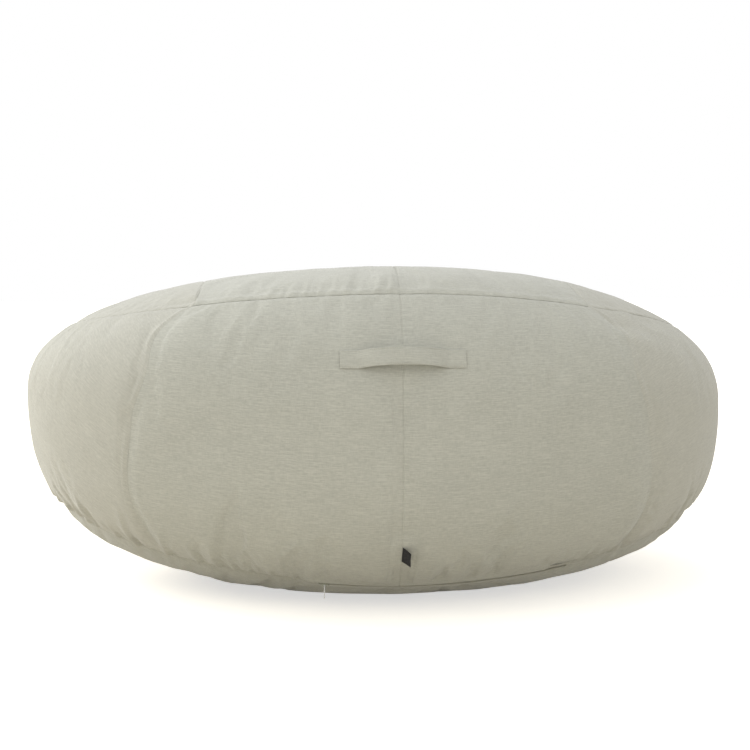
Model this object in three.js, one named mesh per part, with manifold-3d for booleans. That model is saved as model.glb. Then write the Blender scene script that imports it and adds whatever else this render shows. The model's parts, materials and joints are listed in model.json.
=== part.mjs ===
// A filled lounge pouf in a zip-off fabric cover. Millimetres, +Z up, origin on the floor under the
// middle of its box. The carry handle and the zip are on the -Y side, and +X is to the right of
// someone who faces that side.
// Fabric pieces are sheets between two depths below one smooth skin, on one grid of columns
// (longitudes) and rows (latitudes), so every layer runs parallel to the next.
import * as THREE from "three";
import { mergeVertices } from "three/addons/utils/BufferGeometryUtils.js";
import Module from "manifold-3d";

const wasm = await Module();
wasm.setup();

// ---------- driving dimensions ----------
// Body
const bodyWidth = 1500;
const bodyDepth = 1100;
const bodyHeight = 673;
const planPower = 1.8; // superellipse power of the outline seen from above
const waistHeight = 402.5; // widest line above the floor, at the two ends
const waistDip = 40; // how much lower that line is at the front and back
const waistLean = 15.5; // left end higher and right end lower by this
const crownX = 15.7; // highest point, from the middle
const crownY = -200;
const baseShiftX = 30.4; // middle of the base, from the middle of the waist
const baseSink = 7.2; // how far the weight flattens the rounded underside
const upperPower = { front: 2.6, back: 2, left: 2.08, right: 2.07 };
const lowerPower = { front: 2.8, back: 2.8, left: 2.83, right: 2.99 };

// Seams of the cover, as longitudes and latitudes in degrees
const sideSeamLongitude = 42; // from the X axis, both ways and on both ends
const topSeamLatitude = { ends: 31.5, front: 55.4, back: 42 };
const baseSeamLatitude = { ends: 25, front: 51.7, back: 51.7 };
const seamRounding = 0.2; // how softly the two long seams turn round the ends
const hemBand = 3.2; // row either side of the base seam
const topSeamBow = 35; // how far the seams over the top bend inwards
const seamGap = 0.5; // between two panels

// Layers
const coverThickness = 1.6;
const linerThickness = 1.2;
const layerGap = 0.4;

// Outer zip, along the base seam at the front
const zipClosedX = -150;
const zipOpenX = 352;
const zipSlot = 7; // from the seam to each folded fabric edge
const tapeReach = 15; // from the seam to the tape's outer edge
const tapeThickness = 0.8;
const tapeSetBack = 0.2; // of the tape's inner edge behind the coil's
const coilWidth = 2;
const coilThickness = 1.6;
const coilGap = 1.6; // between the two rows, where the slider's web runs
const stopLength = 3;
const stopProud = 0.4; // above the coil
const runningGap = 0.35;
const sliderLength = 18;
const sliderPlate = 1.1;
const sliderWeb = 0.8;
const sliderWebLength = 7;
const flangeWidth = 0.9;
const flangeLength = 10.8;
const flangeGap = 0.7; // open edge under the flange, for the tape
const slackBehindZip = 1.5; // of the inner bag, behind the slider
const bailLength = 9;
const bailWidth = 1.6;
const bailBar = 1.3;
const bailRoom = 3; // under the bail, for the pull's end bar
const pullLength = 26;
const pullWidth = 6.4;
const pullThickness = 1.8;
const pullBar = 1.5; // end bar of the pull's eye
const pullEye = 6.4; // length of the eye
const pullRail = 1.5;

// Carry handle
const handleLength = 238;
const handleX = 2;
const handleDrop = 164; // from the crown down to the middle of the strap
const handleWidth = 35;
const handleThickness = 2.6;
const handleSewn = 35; // length sewn flat at each end
const handleBow = 28; // how far the middle stands off
const handleFlatness = 2.4; // power of the arch: higher is flatter in the middle
const gripLength = 106;
const handleSeat = 0.4;
const handleRowMargin = 2.5; // from the strap's edges to the rows above and below it

// Flag label in the front seam
const labelZ = 136;
const labelLength = 38;
const labelReach = 20;
const labelThickness = 0.9;
const labelTurn = 50; // from straight out towards +X, degrees
const labelSeat = 0.4;

// Zip of the inner bag, straight, under the middle
const linerZipLength = 400;
const linerZipSlot = 5; // half width of the slit
const fillingMargin = 2; // of the hollow in the beads round that zip

// How finely curves are divided
const wideStepDegrees = 12;
const zipStepDegrees = 5;
const arcStepDegrees = 1.6;
const strapStep = 9;
const endSeamSteps = 8;
const seamOverrun = 30; // of a seam's cut past the edge of the cap

// ---------- the skin ----------
const rad = THREE.MathUtils.degToRad;

function signedPower(value, power) {
  return Math.sign(value) * Math.abs(value) ** power;
}

// A value that differs front, back, left and right, blended round the body.
function around(theta, { front, back, left, right }) {
  const s = Math.sin(theta);
  const c = Math.cos(theta);
  const end = c < 0 ? left : right;
  const side = front + (back - front) * Math.max(s, 0);
  return side * s * s + end * c * c;
}

function waistAt(theta) {
  return around(theta, {
    front: waistHeight - waistDip,
    back: waistHeight - waistDip,
    left: waistHeight + waistLean,
    right: waistHeight - waistLean,
  });
}

// The point of the skin at a longitude and a latitude: +90 degrees is the crown, 0 the waist.
function skin(theta, latitude) {
  const px = (signedPower(Math.cos(theta), 2 / planPower) * bodyWidth) / 2;
  const py = (signedPower(Math.sin(theta), 2 / planPower) * bodyDepth) / 2;
  const upper = latitude > 0;
  const power = 2 / around(theta, upper ? upperPower : lowerPower);
  const reach = Math.max(Math.cos(latitude), 0) ** power;
  const rise = Math.sin(Math.abs(latitude)) ** power;
  const waist = waistAt(theta);
  const cx = upper ? crownX : baseShiftX;
  const cy = upper ? crownY : 0;
  const z = upper
    ? waist + (bodyHeight - waist) * rise
    : Math.max(waist - (waist + baseSink) * rise, 0);
  return new THREE.Vector3(cx + (px - cx) * reach, cy + (py - cy) * reach, z);
}

function skinNormal(theta, latitude) {
  if (latitude > rad(89.9)) return new THREE.Vector3(0, 0, 1);
  if (latitude <= flatLatitude(theta)) return new THREE.Vector3(0, 0, -1);
  const step = 0.01;
  const along = skin(theta + step, latitude).sub(skin(theta - step, latitude));
  const up = skin(theta, latitude + step).sub(skin(theta, latitude - step));
  return along.cross(up).normalize();
}

// ---------- rows and columns ----------
function seamLatitude(theta, { ends, front, back }) {
  const s = Math.sin(theta);
  const soft = (value) => Math.hypot(value, seamRounding) - seamRounding;
  const middle = s < 0 ? front : back;
  return rad(ends + ((middle - ends) * soft(s)) / soft(1));
}

function flatLatitude(theta) {
  const waist = waistAt(theta);
  const power = around(theta, lowerPower) / 2;
  return -Math.asin((waist / (waist + baseSink)) ** power);
}

const topSeam = (theta) => seamLatitude(theta, topSeamLatitude);
const baseSeam = (theta) => -seamLatitude(theta, baseSeamLatitude);
const aboveHem = (theta) => baseSeam(theta) + rad(hemBand);
const belowHem = (theta) => baseSeam(theta) - rad(hemBand);
const between = (from, to, share) => (theta) => from(theta) + (to(theta) - from(theta)) * share;
const waistRow = () => 0;
const front = rad(-90);
const handleZ = bodyHeight - handleDrop;

// The share of the way from the waist to the top seam at which the front has a height.
function rowShareAt(z) {
  const waist = waistAt(front);
  const rise = (z - waist) / (bodyHeight - waist);
  return Math.asin(rise ** (upperPower.front / 2)) / topSeam(front);
}

const handleHalfBand = handleWidth / 2 + handleRowMargin;
const crownRow = () => Math.PI / 2;
const baseMiddleRow = () => -Math.PI / 2;

const baseRows = [
  baseMiddleRow,
  flatLatitude,
  between(belowHem, flatLatitude, 0.5),
  belowHem,
  baseSeam,
];
const wallRows = [
  baseSeam,
  aboveHem,
  between(waistRow, baseSeam, 0.75),
  between(waistRow, baseSeam, 0.52),
  between(waistRow, baseSeam, 0.3),
  between(waistRow, baseSeam, 0.12),
  waistRow,
  between(waistRow, topSeam, rowShareAt(handleZ - handleHalfBand)),
  between(waistRow, topSeam, rowShareAt(handleZ + handleHalfBand)),
  between(waistRow, topSeam, 0.75),
  topSeam,
];
const capRows = [
  topSeam,
  between(topSeam, crownRow, 0.3),
  between(topSeam, crownRow, 0.65),
  crownRow,
];
const allRows = [...baseRows, ...wallRows.slice(1), ...capRows.slice(1)];

// The front longitude at which the base seam stands at x.
function longitudeAt(x) {
  let low = rad(-180);
  let high = 0;
  for (let i = 0; i < 40; i++) {
    const middle = (low + high) / 2;
    if (skin(middle, baseSeam(middle)).x < x) low = middle;
    else high = middle;
  }
  return low;
}

const zipFrom = longitudeAt(zipClosedX);
const zipTo = longitudeAt(zipOpenX);
const zipMargin = rad(1);
const frontLeft = rad(sideSeamLongitude - 180);
const frontRight = rad(-sideSeamLongitude);
const wideStep = rad(wideStepDegrees);
const zipStep = rad(zipStepDegrees);

// Longitudes from one mark to the next in equal steps no wider than the step given.
function longitudes(marks, step) {
  const list = [marks[0]];
  for (let k = 1; k < marks.length; k++) {
    const span = marks[k] - marks[k - 1];
    const count = Math.max(Math.ceil(span / step - 1e-6), 1);
    for (let i = 1; i <= count; i++) list.push(marks[k - 1] + (span * i) / count);
  }
  return list;
}

const leftFrontColumns = [
  ...longitudes([frontLeft, zipFrom - zipMargin, zipFrom], wideStep),
  ...longitudes([zipFrom, front], zipStep).slice(1),
];
const rightFrontColumns = [
  ...longitudes([front, zipTo], zipStep),
  ...longitudes([zipTo, zipTo + zipMargin, frontRight], wideStep).slice(1),
];
const rightColumns = longitudes([frontRight, 0, -frontRight], wideStep);
const rightBackColumns = longitudes([-frontRight, -front], wideStep);
const leftBackColumns = longitudes([-front, -frontLeft], wideStep);
const leftColumns = longitudes([-frontLeft, Math.PI, 2 * Math.PI + frontLeft], wideStep);
const allColumns = [
  leftFrontColumns,
  rightFrontColumns,
  rightColumns,
  rightBackColumns,
  leftBackColumns,
  leftColumns,
].flatMap((columns) => columns.slice(1));

const onZip = (theta) => theta > zipFrom - 1e-6 && theta < zipTo + 1e-6;

// ---------- solids from grids ----------
function geometryOf(triangles) {
  const positions = triangles.flatMap((corner) => corner.toArray());
  return new THREE.BufferGeometry().setAttribute(
    "position",
    new THREE.Float32BufferAttribute(positions, 3),
  );
}

function quad(list, a, b, c, d) {
  for (const [p, q, r] of [[a, b, c], [a, c, d]]) {
    const open = p.distanceTo(q) > 1e-4 && q.distanceTo(r) > 1e-4 && r.distanceTo(p) > 1e-4;
    if (open) list.push(p, q, r);
  }
}

// Faces of a grid of points, column by column, seen from outside.
function faceGrid(list, grid, wrap) {
  const last = wrap ? grid.length : grid.length - 1;
  for (let i = 0; i < last; i++) {
    const near = grid[i];
    const far = grid[(i + 1) % grid.length];
    for (let j = 0; j + 1 < near.length; j++) quad(list, near[j], far[j], far[j + 1], near[j + 1]);
  }
}

// The closed solid between an outer and an inner grid of the same layout.
function slab(outer, inner, wrap = false) {
  const list = [];
  const top = outer[0].length - 1;
  const count = outer.length;
  const last = wrap ? count : count - 1;
  faceGrid(list, outer, wrap);
  for (let i = 0; i < last; i++) {
    const n = (i + 1) % count;
    for (let j = 0; j < top; j++) {
      quad(list, inner[i][j], inner[i][j + 1], inner[n][j + 1], inner[n][j]);
    }
    quad(list, outer[n][0], outer[i][0], inner[i][0], inner[n][0]);
    quad(list, outer[i][top], outer[n][top], inner[n][top], inner[i][top]);
  }
  for (let j = 0; j < top && !wrap; j++) {
    quad(list, outer[0][j], outer[0][j + 1], inner[0][j + 1], inner[0][j]);
    const e = count - 1;
    quad(list, outer[e][j + 1], outer[e][j], inner[e][j], inner[e][j + 1]);
  }
  return geometryOf(list);
}

function skinGrid(columns, rows, depth) {
  return columns.map((theta) =>
    rows.map((row) => {
      const latitude = row(theta);
      const below = typeof depth === "function" ? depth(theta, row) : depth;
      return skin(theta, latitude).addScaledVector(skinNormal(theta, latitude), -below);
    }),
  );
}

// Moves each border of a grid inwards by the distance given for it.
function trim(grid, columns, { start = 0, end = 0, low = () => 0, high = () => 0 }) {
  const draw = (p, q, by) => by && p.lerp(q, by / p.distanceTo(q));
  const top = grid[0].length - 1;
  const last = grid.length - 1;
  grid.forEach((points, i) => {
    draw(points[0], points[1], low(columns[i]));
    draw(points[top], points[top - 1], high(columns[i]));
  });
  for (let j = 0; j <= top; j++) {
    draw(grid[0][j], grid[1][j], start);
    draw(grid[last][j], grid[last - 1][j], end);
  }
  return grid;
}

function panel(columns, rows, borders, wrap = false) {
  const outer = trim(skinGrid(columns, rows, 0), columns, borders);
  const inner = trim(skinGrid(columns, rows, coverThickness), columns, borders);
  return slab(outer, inner, wrap);
}

// ---------- joining and cutting ----------
function solid(geometry) {
  const bare = geometry.index ? geometry.toNonIndexed() : geometry.clone();
  bare.deleteAttribute("normal");
  bare.deleteAttribute("uv");
  const merged = mergeVertices(bare, 1e-3);
  const mesh = new wasm.Mesh({
    numProp: 3,
    vertProperties: new Float32Array(merged.attributes.position.array),
    triVerts: new Uint32Array(merged.index.array),
  });
  return new wasm.Manifold(mesh);
}

function meshGeometry(body) {
  const { vertProperties, triVerts, numProp } = body.getMesh();
  const points = [];
  for (let i = 0; i < vertProperties.length; i += numProp) {
    points.push(...vertProperties.subarray(i, i + 3));
  }
  return new THREE.BufferGeometry()
    .setAttribute("position", new THREE.Float32BufferAttribute(points, 3))
    .setIndex([...triVerts]);
}

function join(...geometries) {
  return meshGeometry(geometries.map(solid).reduce((a, b) => a.add(b)));
}

function cut(geometry, ...tools) {
  return meshGeometry(tools.map(solid).reduce((a, b) => a.subtract(b), solid(geometry)));
}

function block(x0, x1, y0, y1, z0, z1) {
  return new THREE.BoxGeometry(x1 - x0, y1 - y0, z1 - z0).translate(
    (x0 + x1) / 2,
    (y0 + y1) / 2,
    (z0 + z1) / 2,
  );
}

function roundedShape(length, width, radius) {
  const x = length / 2 - radius;
  const y = width / 2 - radius;
  const shape = new THREE.Shape();
  shape.absarc(x, y, radius, 0, Math.PI / 2);
  shape.absarc(-x, y, radius, Math.PI / 2, Math.PI);
  shape.absarc(-x, -y, radius, Math.PI, 1.5 * Math.PI);
  shape.absarc(x, -y, radius, 1.5 * Math.PI, 2 * Math.PI);
  return shape;
}

function extruded(shape, depth) {
  return new THREE.ExtrudeGeometry(shape, { depth, bevelEnabled: false, curveSegments: 4 });
}

// ---------- materials ----------
function finish(color, roughness, metalness = 0) {
  return new THREE.MeshStandardMaterial({ color, roughness, metalness });
}

const fabric = finish(0xb3b1a2, 0.92);
const webbing = finish(0xaaa898, 0.88);
const tapeCloth = finish(0x9b998b, 0.85);
const coilPlastic = finish(0xa5a394, 0.45);
const paintedMetal = finish(0x8f9080, 0.45, 0.2);
const pullMetal = finish(0xc9c8c0, 0.3, 0.9);
const labelCloth = finish(0x17171a, 0.8);
const linerCloth = finish(0xe9e8e2, 0.9);
const beads = finish(0xf4f4f1, 0.8);

const pouf = new THREE.Group();

function place(name, geometry, material, parent = pouf) {
  const mesh = new THREE.Mesh(geometry, material);
  mesh.name = name;
  parent.add(mesh);
  return mesh;
}

// ---------- cover panels ----------
const halfGap = () => seamGap / 2;
const hemEdge = (theta) => (onZip(theta) ? zipSlot : seamGap / 2);
const wallBorders = { start: seamGap / 2, end: seamGap / 2, low: hemEdge, high: halfGap };

function addWall(name, columns) {
  place(name, panel(columns, wallRows, wallBorders), fabric);
}

function addBase() {
  const borders = { low: () => 0, high: hemEdge };
  const outer = trim(skinGrid(allColumns, baseRows, 0), allColumns, borders);
  const inner = trim(skinGrid(allColumns, baseRows, coverThickness), allColumns, borders);
  place("base_panel", slab(outer, inner, true), fabric);
}

// A thin upright wall that follows points given from above, and cuts a seam through the cap.
function seamKnife(points) {
  const half = seamGap / 2;
  const side = (sign) =>
    points.map(([x, y], i) => {
      const [ax, ay] = points[Math.max(i - 1, 0)];
      const [bx, by] = points[Math.min(i + 1, points.length - 1)];
      const reach = Math.hypot(bx - ax, by - ay);
      const nx = (sign * half * (by - ay)) / reach;
      const ny = (-sign * half * (bx - ax)) / reach;
      return new THREE.Vector2(x + nx, y + ny);
    });
  const outline = [...side(1), ...side(-1).reverse()];
  return extruded(new THREE.Shape(outline), bodyHeight + seamOverrun);
}

// The seam over the top from a front corner to the back corner behind it.
function endSeam(frontTheta, backTheta, inwards) {
  const from = skin(frontTheta, topSeam(frontTheta));
  const to = skin(backTheta, topSeam(backTheta));
  const overrun = seamOverrun / from.distanceTo(to);
  const points = [];
  for (let i = 0; i <= endSeamSteps; i++) {
    const t = -overrun + ((1 + 2 * overrun) * i) / endSeamSteps;
    const bow = topSeamBow * 4 * t * (1 - t) * inwards;
    points.push([from.x + (to.x - from.x) * t + bow, from.y + (to.y - from.y) * t]);
  }
  return seamKnife(points);
}

function middleSeam() {
  const from = skin(front, topSeam(front));
  const to = skin(-front, topSeam(-front));
  return seamKnife([
    [from.x, from.y - seamOverrun],
    [from.x, from.y],
    [crownX, crownY],
    [to.x, to.y],
    [to.x, to.y + seamOverrun],
  ]);
}

function addCap() {
  const borders = { low: halfGap };
  const cap = panel(allColumns, capRows, borders, true);
  const knives = [
    endSeam(frontLeft, -frontLeft, 1),
    middleSeam(),
    endSeam(frontRight, -frontRight, -1),
  ];
  const pieces = solid(cut(cap, ...knives)).decompose();
  const middleX = (body) => body.boundingBox().min[0] + body.boundingBox().max[0];
  pieces.sort((a, b) => middleX(a) - middleX(b));
  const names = ["top_end_left", "top_panel_left", "top_panel_right", "top_end_right"];
  names.forEach((name, i) => place(name, meshGeometry(pieces[i]), fabric));
}

// ---------- outer zip ----------
// The slider runs on the circle through the two ends and the middle of the zip's seam.
function circleThrough(a, b, c) {
  const ab = b.clone().sub(a);
  const ac = c.clone().sub(a);
  const normal = ab.clone().cross(ac);
  const toCentre = normal.clone().cross(ab).multiplyScalar(ac.lengthSq());
  toCentre.add(ac.clone().cross(normal).multiplyScalar(ab.lengthSq()));
  toCentre.divideScalar(2 * normal.lengthSq());
  const axis = normal.normalize();
  if (axis.z < 0) axis.negate();
  return { centre: a.clone().add(toCentre), axis, radius: toCentre.length() };
}

const seamPoint = (theta) => skin(theta, baseSeam(theta));
const zipShare = (share) => seamPoint(zipFrom + (zipTo - zipFrom) * share);
const zipArc = circleThrough(zipShare(0.08), zipShare(0.5), zipShare(0.92));
const arcStart = zipShare(0).sub(zipArc.centre).projectOnPlane(zipArc.axis).normalize();
const arcSide = zipArc.axis.clone().cross(arcStart);
const radial = (angle) =>
  arcStart.clone().multiplyScalar(Math.cos(angle)).addScaledVector(arcSide, Math.sin(angle));
const endRadial = zipShare(1).sub(zipArc.centre).projectOnPlane(zipArc.axis).normalize();
const arcAngle = arcStart.angleTo(endRadial);

// How far the sewn seam strays from that circle at most.
function seamStray() {
  let most = 0;
  for (let i = 0; i <= 40; i++) {
    const offset = zipShare(i / 40).sub(zipArc.centre);
    const height = offset.dot(zipArc.axis);
    const sideways = offset.projectOnPlane(zipArc.axis).length() - zipArc.radius;
    most = Math.max(most, Math.hypot(height, sideways));
  }
  return most;
}

const chainGap = runningGap + seamStray();
const middleTheta = (zipFrom + zipTo) / 2;
const middleOut = skinNormal(middleTheta, baseSeam(middleTheta));
const middleRadial = radial(arcAngle / 2);
const tilt = Math.atan2(middleOut.dot(zipArc.axis), middleOut.dot(middleRadial));

// Directions at an angle along the zip: along it, across it upwards, and out of the fabric.
function zipFrame(angle) {
  const r = radial(angle);
  const out = r.clone().multiplyScalar(Math.cos(tilt));
  out.addScaledVector(zipArc.axis, Math.sin(tilt));
  const along = zipArc.axis.clone().cross(r);
  const across = out.clone().cross(along);
  const origin = zipArc.centre.clone().addScaledVector(r, zipArc.radius);
  return { along, across, out, origin };
}

function zipPoint(angle, sideways, outwards) {
  const { across, out, origin } = zipFrame(angle);
  return origin.addScaledVector(across, sideways).addScaledVector(out, outwards);
}

const tapeDepth = coverThickness + layerGap; // outer face of the tape below the skin
const coilInner = -tapeDepth + chainGap;
const coilOuter = coilInner + coilThickness;
const tapeEdge = coilGap / 2 + seamStray() + tapeSetBack;

// A bar of rectangular section along the zip's arc.
function arcBar(from, to, nearSide, farSide, inner, outer) {
  const count = Math.max(Math.round((to - from) / rad(arcStepDegrees)), 1);
  const upright = [];
  const flat = [];
  for (let i = 0; i <= count; i++) {
    const angle = from + ((to - from) * i) / count;
    upright.push([zipPoint(angle, nearSide, outer), zipPoint(angle, farSide, outer)]);
    flat.push([zipPoint(angle, nearSide, inner), zipPoint(angle, farSide, inner)]);
  }
  return slab(upright, flat);
}

function addTape(name, rows, sign) {
  const columns = allColumns.filter(onZip).sort((a, b) => a - b);
  const strip = (depth) =>
    columns.map((theta) => {
      const [seam, next] = skinGrid([theta], rows, depth)[0];
      const reach = seam.distanceTo(next);
      const edge = seam.clone().lerp(next, tapeEdge / reach);
      const far = seam.clone().lerp(next, tapeReach / reach);
      return sign > 0 ? [edge, far] : [far, edge];
    });
  place(name, slab(strip(tapeDepth), strip(tapeDepth + tapeThickness)), tapeCloth);
}

function addChain() {
  addTape("zip_tape_upper", [baseSeam, aboveHem], 1);
  addTape("zip_tape_lower", [baseSeam, belowHem], -1);
  const near = coilGap / 2;
  const far = near + coilWidth;
  const stopAngle = stopLength / zipArc.radius;
  const gapAngle = runningGap / zipArc.radius;
  const from = stopAngle + gapAngle;
  const to = arcAngle - from;
  place("zip_coil_upper", arcBar(from, to, near, far, coilInner, coilOuter), coilPlastic);
  place("zip_coil_lower", arcBar(from, to, -far, -near, coilInner, coilOuter), coilPlastic);
  const stop = (start) => arcBar(start, start + stopAngle, -far, far, coilInner, coilOuter + stopProud);
  place("zip_stop_closed", stop(0), paintedMetal);
  place("zip_stop_open", stop(arcAngle - stopAngle), paintedMetal);
}

// A slider round a chain, in its own axes: X along the chain, Y across, Z towards its coil side.
function sliderBody({ low, high, nearest, farthest }) {
  const width = 2 * (farthest + flangeWidth);
  const plate = (z) => {
    const shape = roundedShape(sliderLength, width, width * 0.3);
    return extruded(shape, sliderPlate).translate(0, 0, z);
  };
  const webHalf = sliderWeb / 2;
  const webEnd = sliderWebLength / 2;
  const sunk = sliderPlate / 2;
  const web = block(-webEnd, webEnd, -webHalf, webHalf, low - sunk, high + sunk);
  const flangeLow = nearest + flangeGap;
  const rim = flangeLength / 2;
  const flange = (y) => block(-rim, rim, y, y + flangeWidth, flangeLow, high + sunk);
  return join(
    plate(low - sliderPlate),
    plate(high),
    web,
    flange(farthest),
    flange(-farthest - flangeWidth),
  );
}

// The bail: an arch along the slider that the pull hangs from.
function bailOn(height) {
  const outer = bailLength / 2;
  const inner = outer - bailBar;
  const foot = 0.4;
  const shape = new THREE.Shape();
  shape.moveTo(-outer, -foot);
  shape.lineTo(-outer, bailRoom * 0.5);
  shape.quadraticCurveTo(-outer, bailRoom + bailBar, 0, bailRoom + bailBar);
  shape.quadraticCurveTo(outer, bailRoom + bailBar, outer, bailRoom * 0.5);
  shape.lineTo(outer, -foot);
  shape.lineTo(inner, -foot);
  shape.lineTo(inner, bailRoom * 0.4);
  shape.quadraticCurveTo(inner, bailRoom, 0, bailRoom);
  shape.quadraticCurveTo(-inner, bailRoom, -inner, bailRoom * 0.4);
  shape.lineTo(-inner, -foot);
  const arch = extruded(shape, bailWidth).translate(0, 0, -bailWidth / 2);
  return arch.rotateX(Math.PI / 2).translate(0, 0, height);
}

function stand(mesh, origin, x, y, z) {
  mesh.quaternion.setFromRotationMatrix(new THREE.Matrix4().makeBasis(x, y, z));
  mesh.position.copy(origin);
}

const sliderRest = (stopLength + 2 * runningGap + sliderLength / 2) / zipArc.radius;
const sliderTravel = arcAngle - 2 * sliderRest;
const sliderTop = coilOuter + runningGap;
const sliderLow = -(tapeDepth + tapeThickness) - chainGap;
const pullPivot = zipPoint(sliderRest, 0, sliderTop + sliderPlate + bailRoom / 2);

function pullShape() {
  const top = pullBar / 2;
  const half = pullWidth / 2;
  const tip = pullLength - half;
  const shape = new THREE.Shape();
  shape.moveTo(-half, top);
  shape.lineTo(-half, -tip);
  shape.absarc(0, -tip, half, Math.PI, 2 * Math.PI);
  shape.lineTo(half, top);
  const eye = new THREE.Path();
  const inside = half - pullRail;
  eye.moveTo(-inside, -top);
  eye.lineTo(inside, -top);
  eye.lineTo(inside, -pullEye);
  eye.lineTo(-inside, -pullEye);
  shape.holes.push(eye);
  return shape;
}

function addSlider() {
  const frame = zipFrame(sliderRest);
  const body = sliderBody({
    low: sliderLow,
    high: sliderTop,
    nearest: coilInner,
    farthest: coilGap / 2 + coilWidth + runningGap,
  });
  const slider = place("zip_slider", join(body, bailOn(sliderTop + sliderPlate)), paintedMetal);
  stand(slider, frame.origin, frame.along, frame.across, frame.out);
  // The pull turns about the bar across the slider and hangs as low as that lets it.
  const hang = new THREE.Vector3(0, 0, -1).projectOnPlane(frame.across).normalize();
  const thick = frame.across.clone().cross(hang.clone().negate());
  const tab = extruded(pullShape(), pullThickness).translate(0, 0, -pullThickness / 2);
  stand(place("zip_pull", tab, pullMetal), pullPivot, frame.across, hang.negate(), thick);
}

// ---------- the faceted front ----------
const frontColumns = [...leftFrontColumns, ...rightFrontColumns.slice(1)];
const frontGrid = skinGrid(frontColumns, wallRows, 0);

// The point of the front panels at x and z, and the direction out of the fabric there.
function onFront(x, z) {
  for (let i = 0; i + 1 < frontGrid.length; i++) {
    for (let j = 0; j + 1 < wallRows.length; j++) {
      const [a, b] = [frontGrid[i][j], frontGrid[i + 1][j]];
      const [c, d] = [frontGrid[i + 1][j + 1], frontGrid[i][j + 1]];
      for (const [p, q, r] of [[a, b, c], [a, c, d]]) {
        const flat = [p, q, r].map((v) => new THREE.Vector3(v.x, v.z, 0));
        const face = new THREE.Triangle(...flat);
        const share = face.getBarycoord(new THREE.Vector3(x, z, 0), new THREE.Vector3());
        if (!share || Math.min(share.x, share.y, share.z) < -1e-6) continue;
        const out = new THREE.Triangle(p, q, r).getNormal(new THREE.Vector3());
        const y = p.y * share.x + q.y * share.y + r.y * share.z;
        return { point: new THREE.Vector3(x, y, z), out };
      }
    }
  }
  throw new Error(`the front has no point at x ${x} and z ${z}`);
}

// ---------- carry handle ----------
const strapUp = onFront(handleX, handleZ).out.cross(new THREE.Vector3(1, 0, 0)).normalize();
const strapOut = new THREE.Vector3(1, 0, 0).cross(strapUp);
const freeHalf = handleLength / 2 - handleSewn;

function strapRise(x) {
  const share = Math.min(Math.abs(x - handleX) / freeHalf, 1);
  return handleSeat + handleBow * (1 - share ** handleFlatness);
}

// A length of the strap between two places along it, seated on the front where it is sewn.
function strapPiece(from, to) {
  const count = Math.max(Math.round((to - from) / strapStep), 2);
  const lifted = (x, side, height) => {
    const z = handleZ + (strapUp.z * side * handleWidth) / 2;
    const { point } = onFront(x, z);
    return point.addScaledVector(strapOut, strapRise(x) + height);
  };
  const grid = (height) => {
    const columns = [];
    for (let i = 0; i <= count; i++) {
      const x = from + ((to - from) * i) / count;
      columns.push([-1, 0, 1].map((side) => lifted(x, side, height)));
    }
    return columns;
  };
  return slab(grid(handleThickness), grid(0));
}

function addHandle() {
  const left = handleX - handleLength / 2;
  const right = handleX + handleLength / 2;
  const gripHalf = gripLength / 2;
  place("handle_end_left", strapPiece(left, handleX - gripHalf - seamGap), webbing);
  place("handle_grip", strapPiece(handleX - gripHalf, handleX + gripHalf), webbing);
  place("handle_end_right", strapPiece(handleX + gripHalf + seamGap, right), webbing);
}

// ---------- flag label ----------
// The label's root on the front's middle seam, and the directions of the flag.
function labelFrame() {
  const seam = frontGrid[leftFrontColumns.length - 1];
  const above = seam.findIndex((point) => point.z > labelZ);
  const [low, high] = [seam[above - 1], seam[above]];
  const up = high.clone().sub(low).normalize();
  const out = new THREE.Vector3(1, 0, 0).cross(up).normalize();
  const side = up.clone().cross(out);
  const reach = out.clone().multiplyScalar(Math.cos(rad(labelTurn)));
  reach.addScaledVector(side, Math.sin(rad(labelTurn)));
  const face = reach.clone().cross(up);
  const root = low.clone().addScaledVector(up, (labelZ - low.z) / up.z);
  root.addScaledVector(out, labelSeat + labelThickness / 2);
  return { up, reach, face, root };
}

function addLabel() {
  const { up, reach, face, root } = labelFrame();
  const shape = roundedShape(labelReach, labelLength, 0.8);
  const flag = extruded(shape, labelThickness).translate(labelReach / 2, 0, -labelThickness / 2);
  stand(place("label_flag", flag, labelCloth), root, reach, up, face);
}

// ---------- inner bag and filling ----------
const linerDepth = coverThickness + layerGap;
const zipRoom = -sliderLow + sliderPlate + chainGap + layerGap;

// Depth of a layer, with room left behind the outer zip for the slider's inner plate.
function layerDepth(depth) {
  return (theta, row) => {
    if (!onZip(theta)) return depth;
    if (row === baseSeam) return depth + zipRoom - linerDepth + slackBehindZip;
    const beside = row === aboveHem || row === belowHem;
    return beside ? depth + tapeThickness + 2 * layerGap : depth;
  };
}

function closedSkin(depth) {
  const list = [];
  faceGrid(list, skinGrid(allColumns, allRows, layerDepth(depth)), true);
  return geometryOf(list);
}

const linerTop = linerDepth + linerThickness; // inner face of the bag where it rests
const linerTapeLow = linerTop + runningGap;
const linerCoilLow = linerTapeLow + tapeThickness + runningGap;
const linerCoilTop = linerCoilLow + coilThickness;
const linerZipFrom = baseShiftX - linerZipLength / 2;
const linerZipTo = baseShiftX + linerZipLength / 2;

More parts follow.
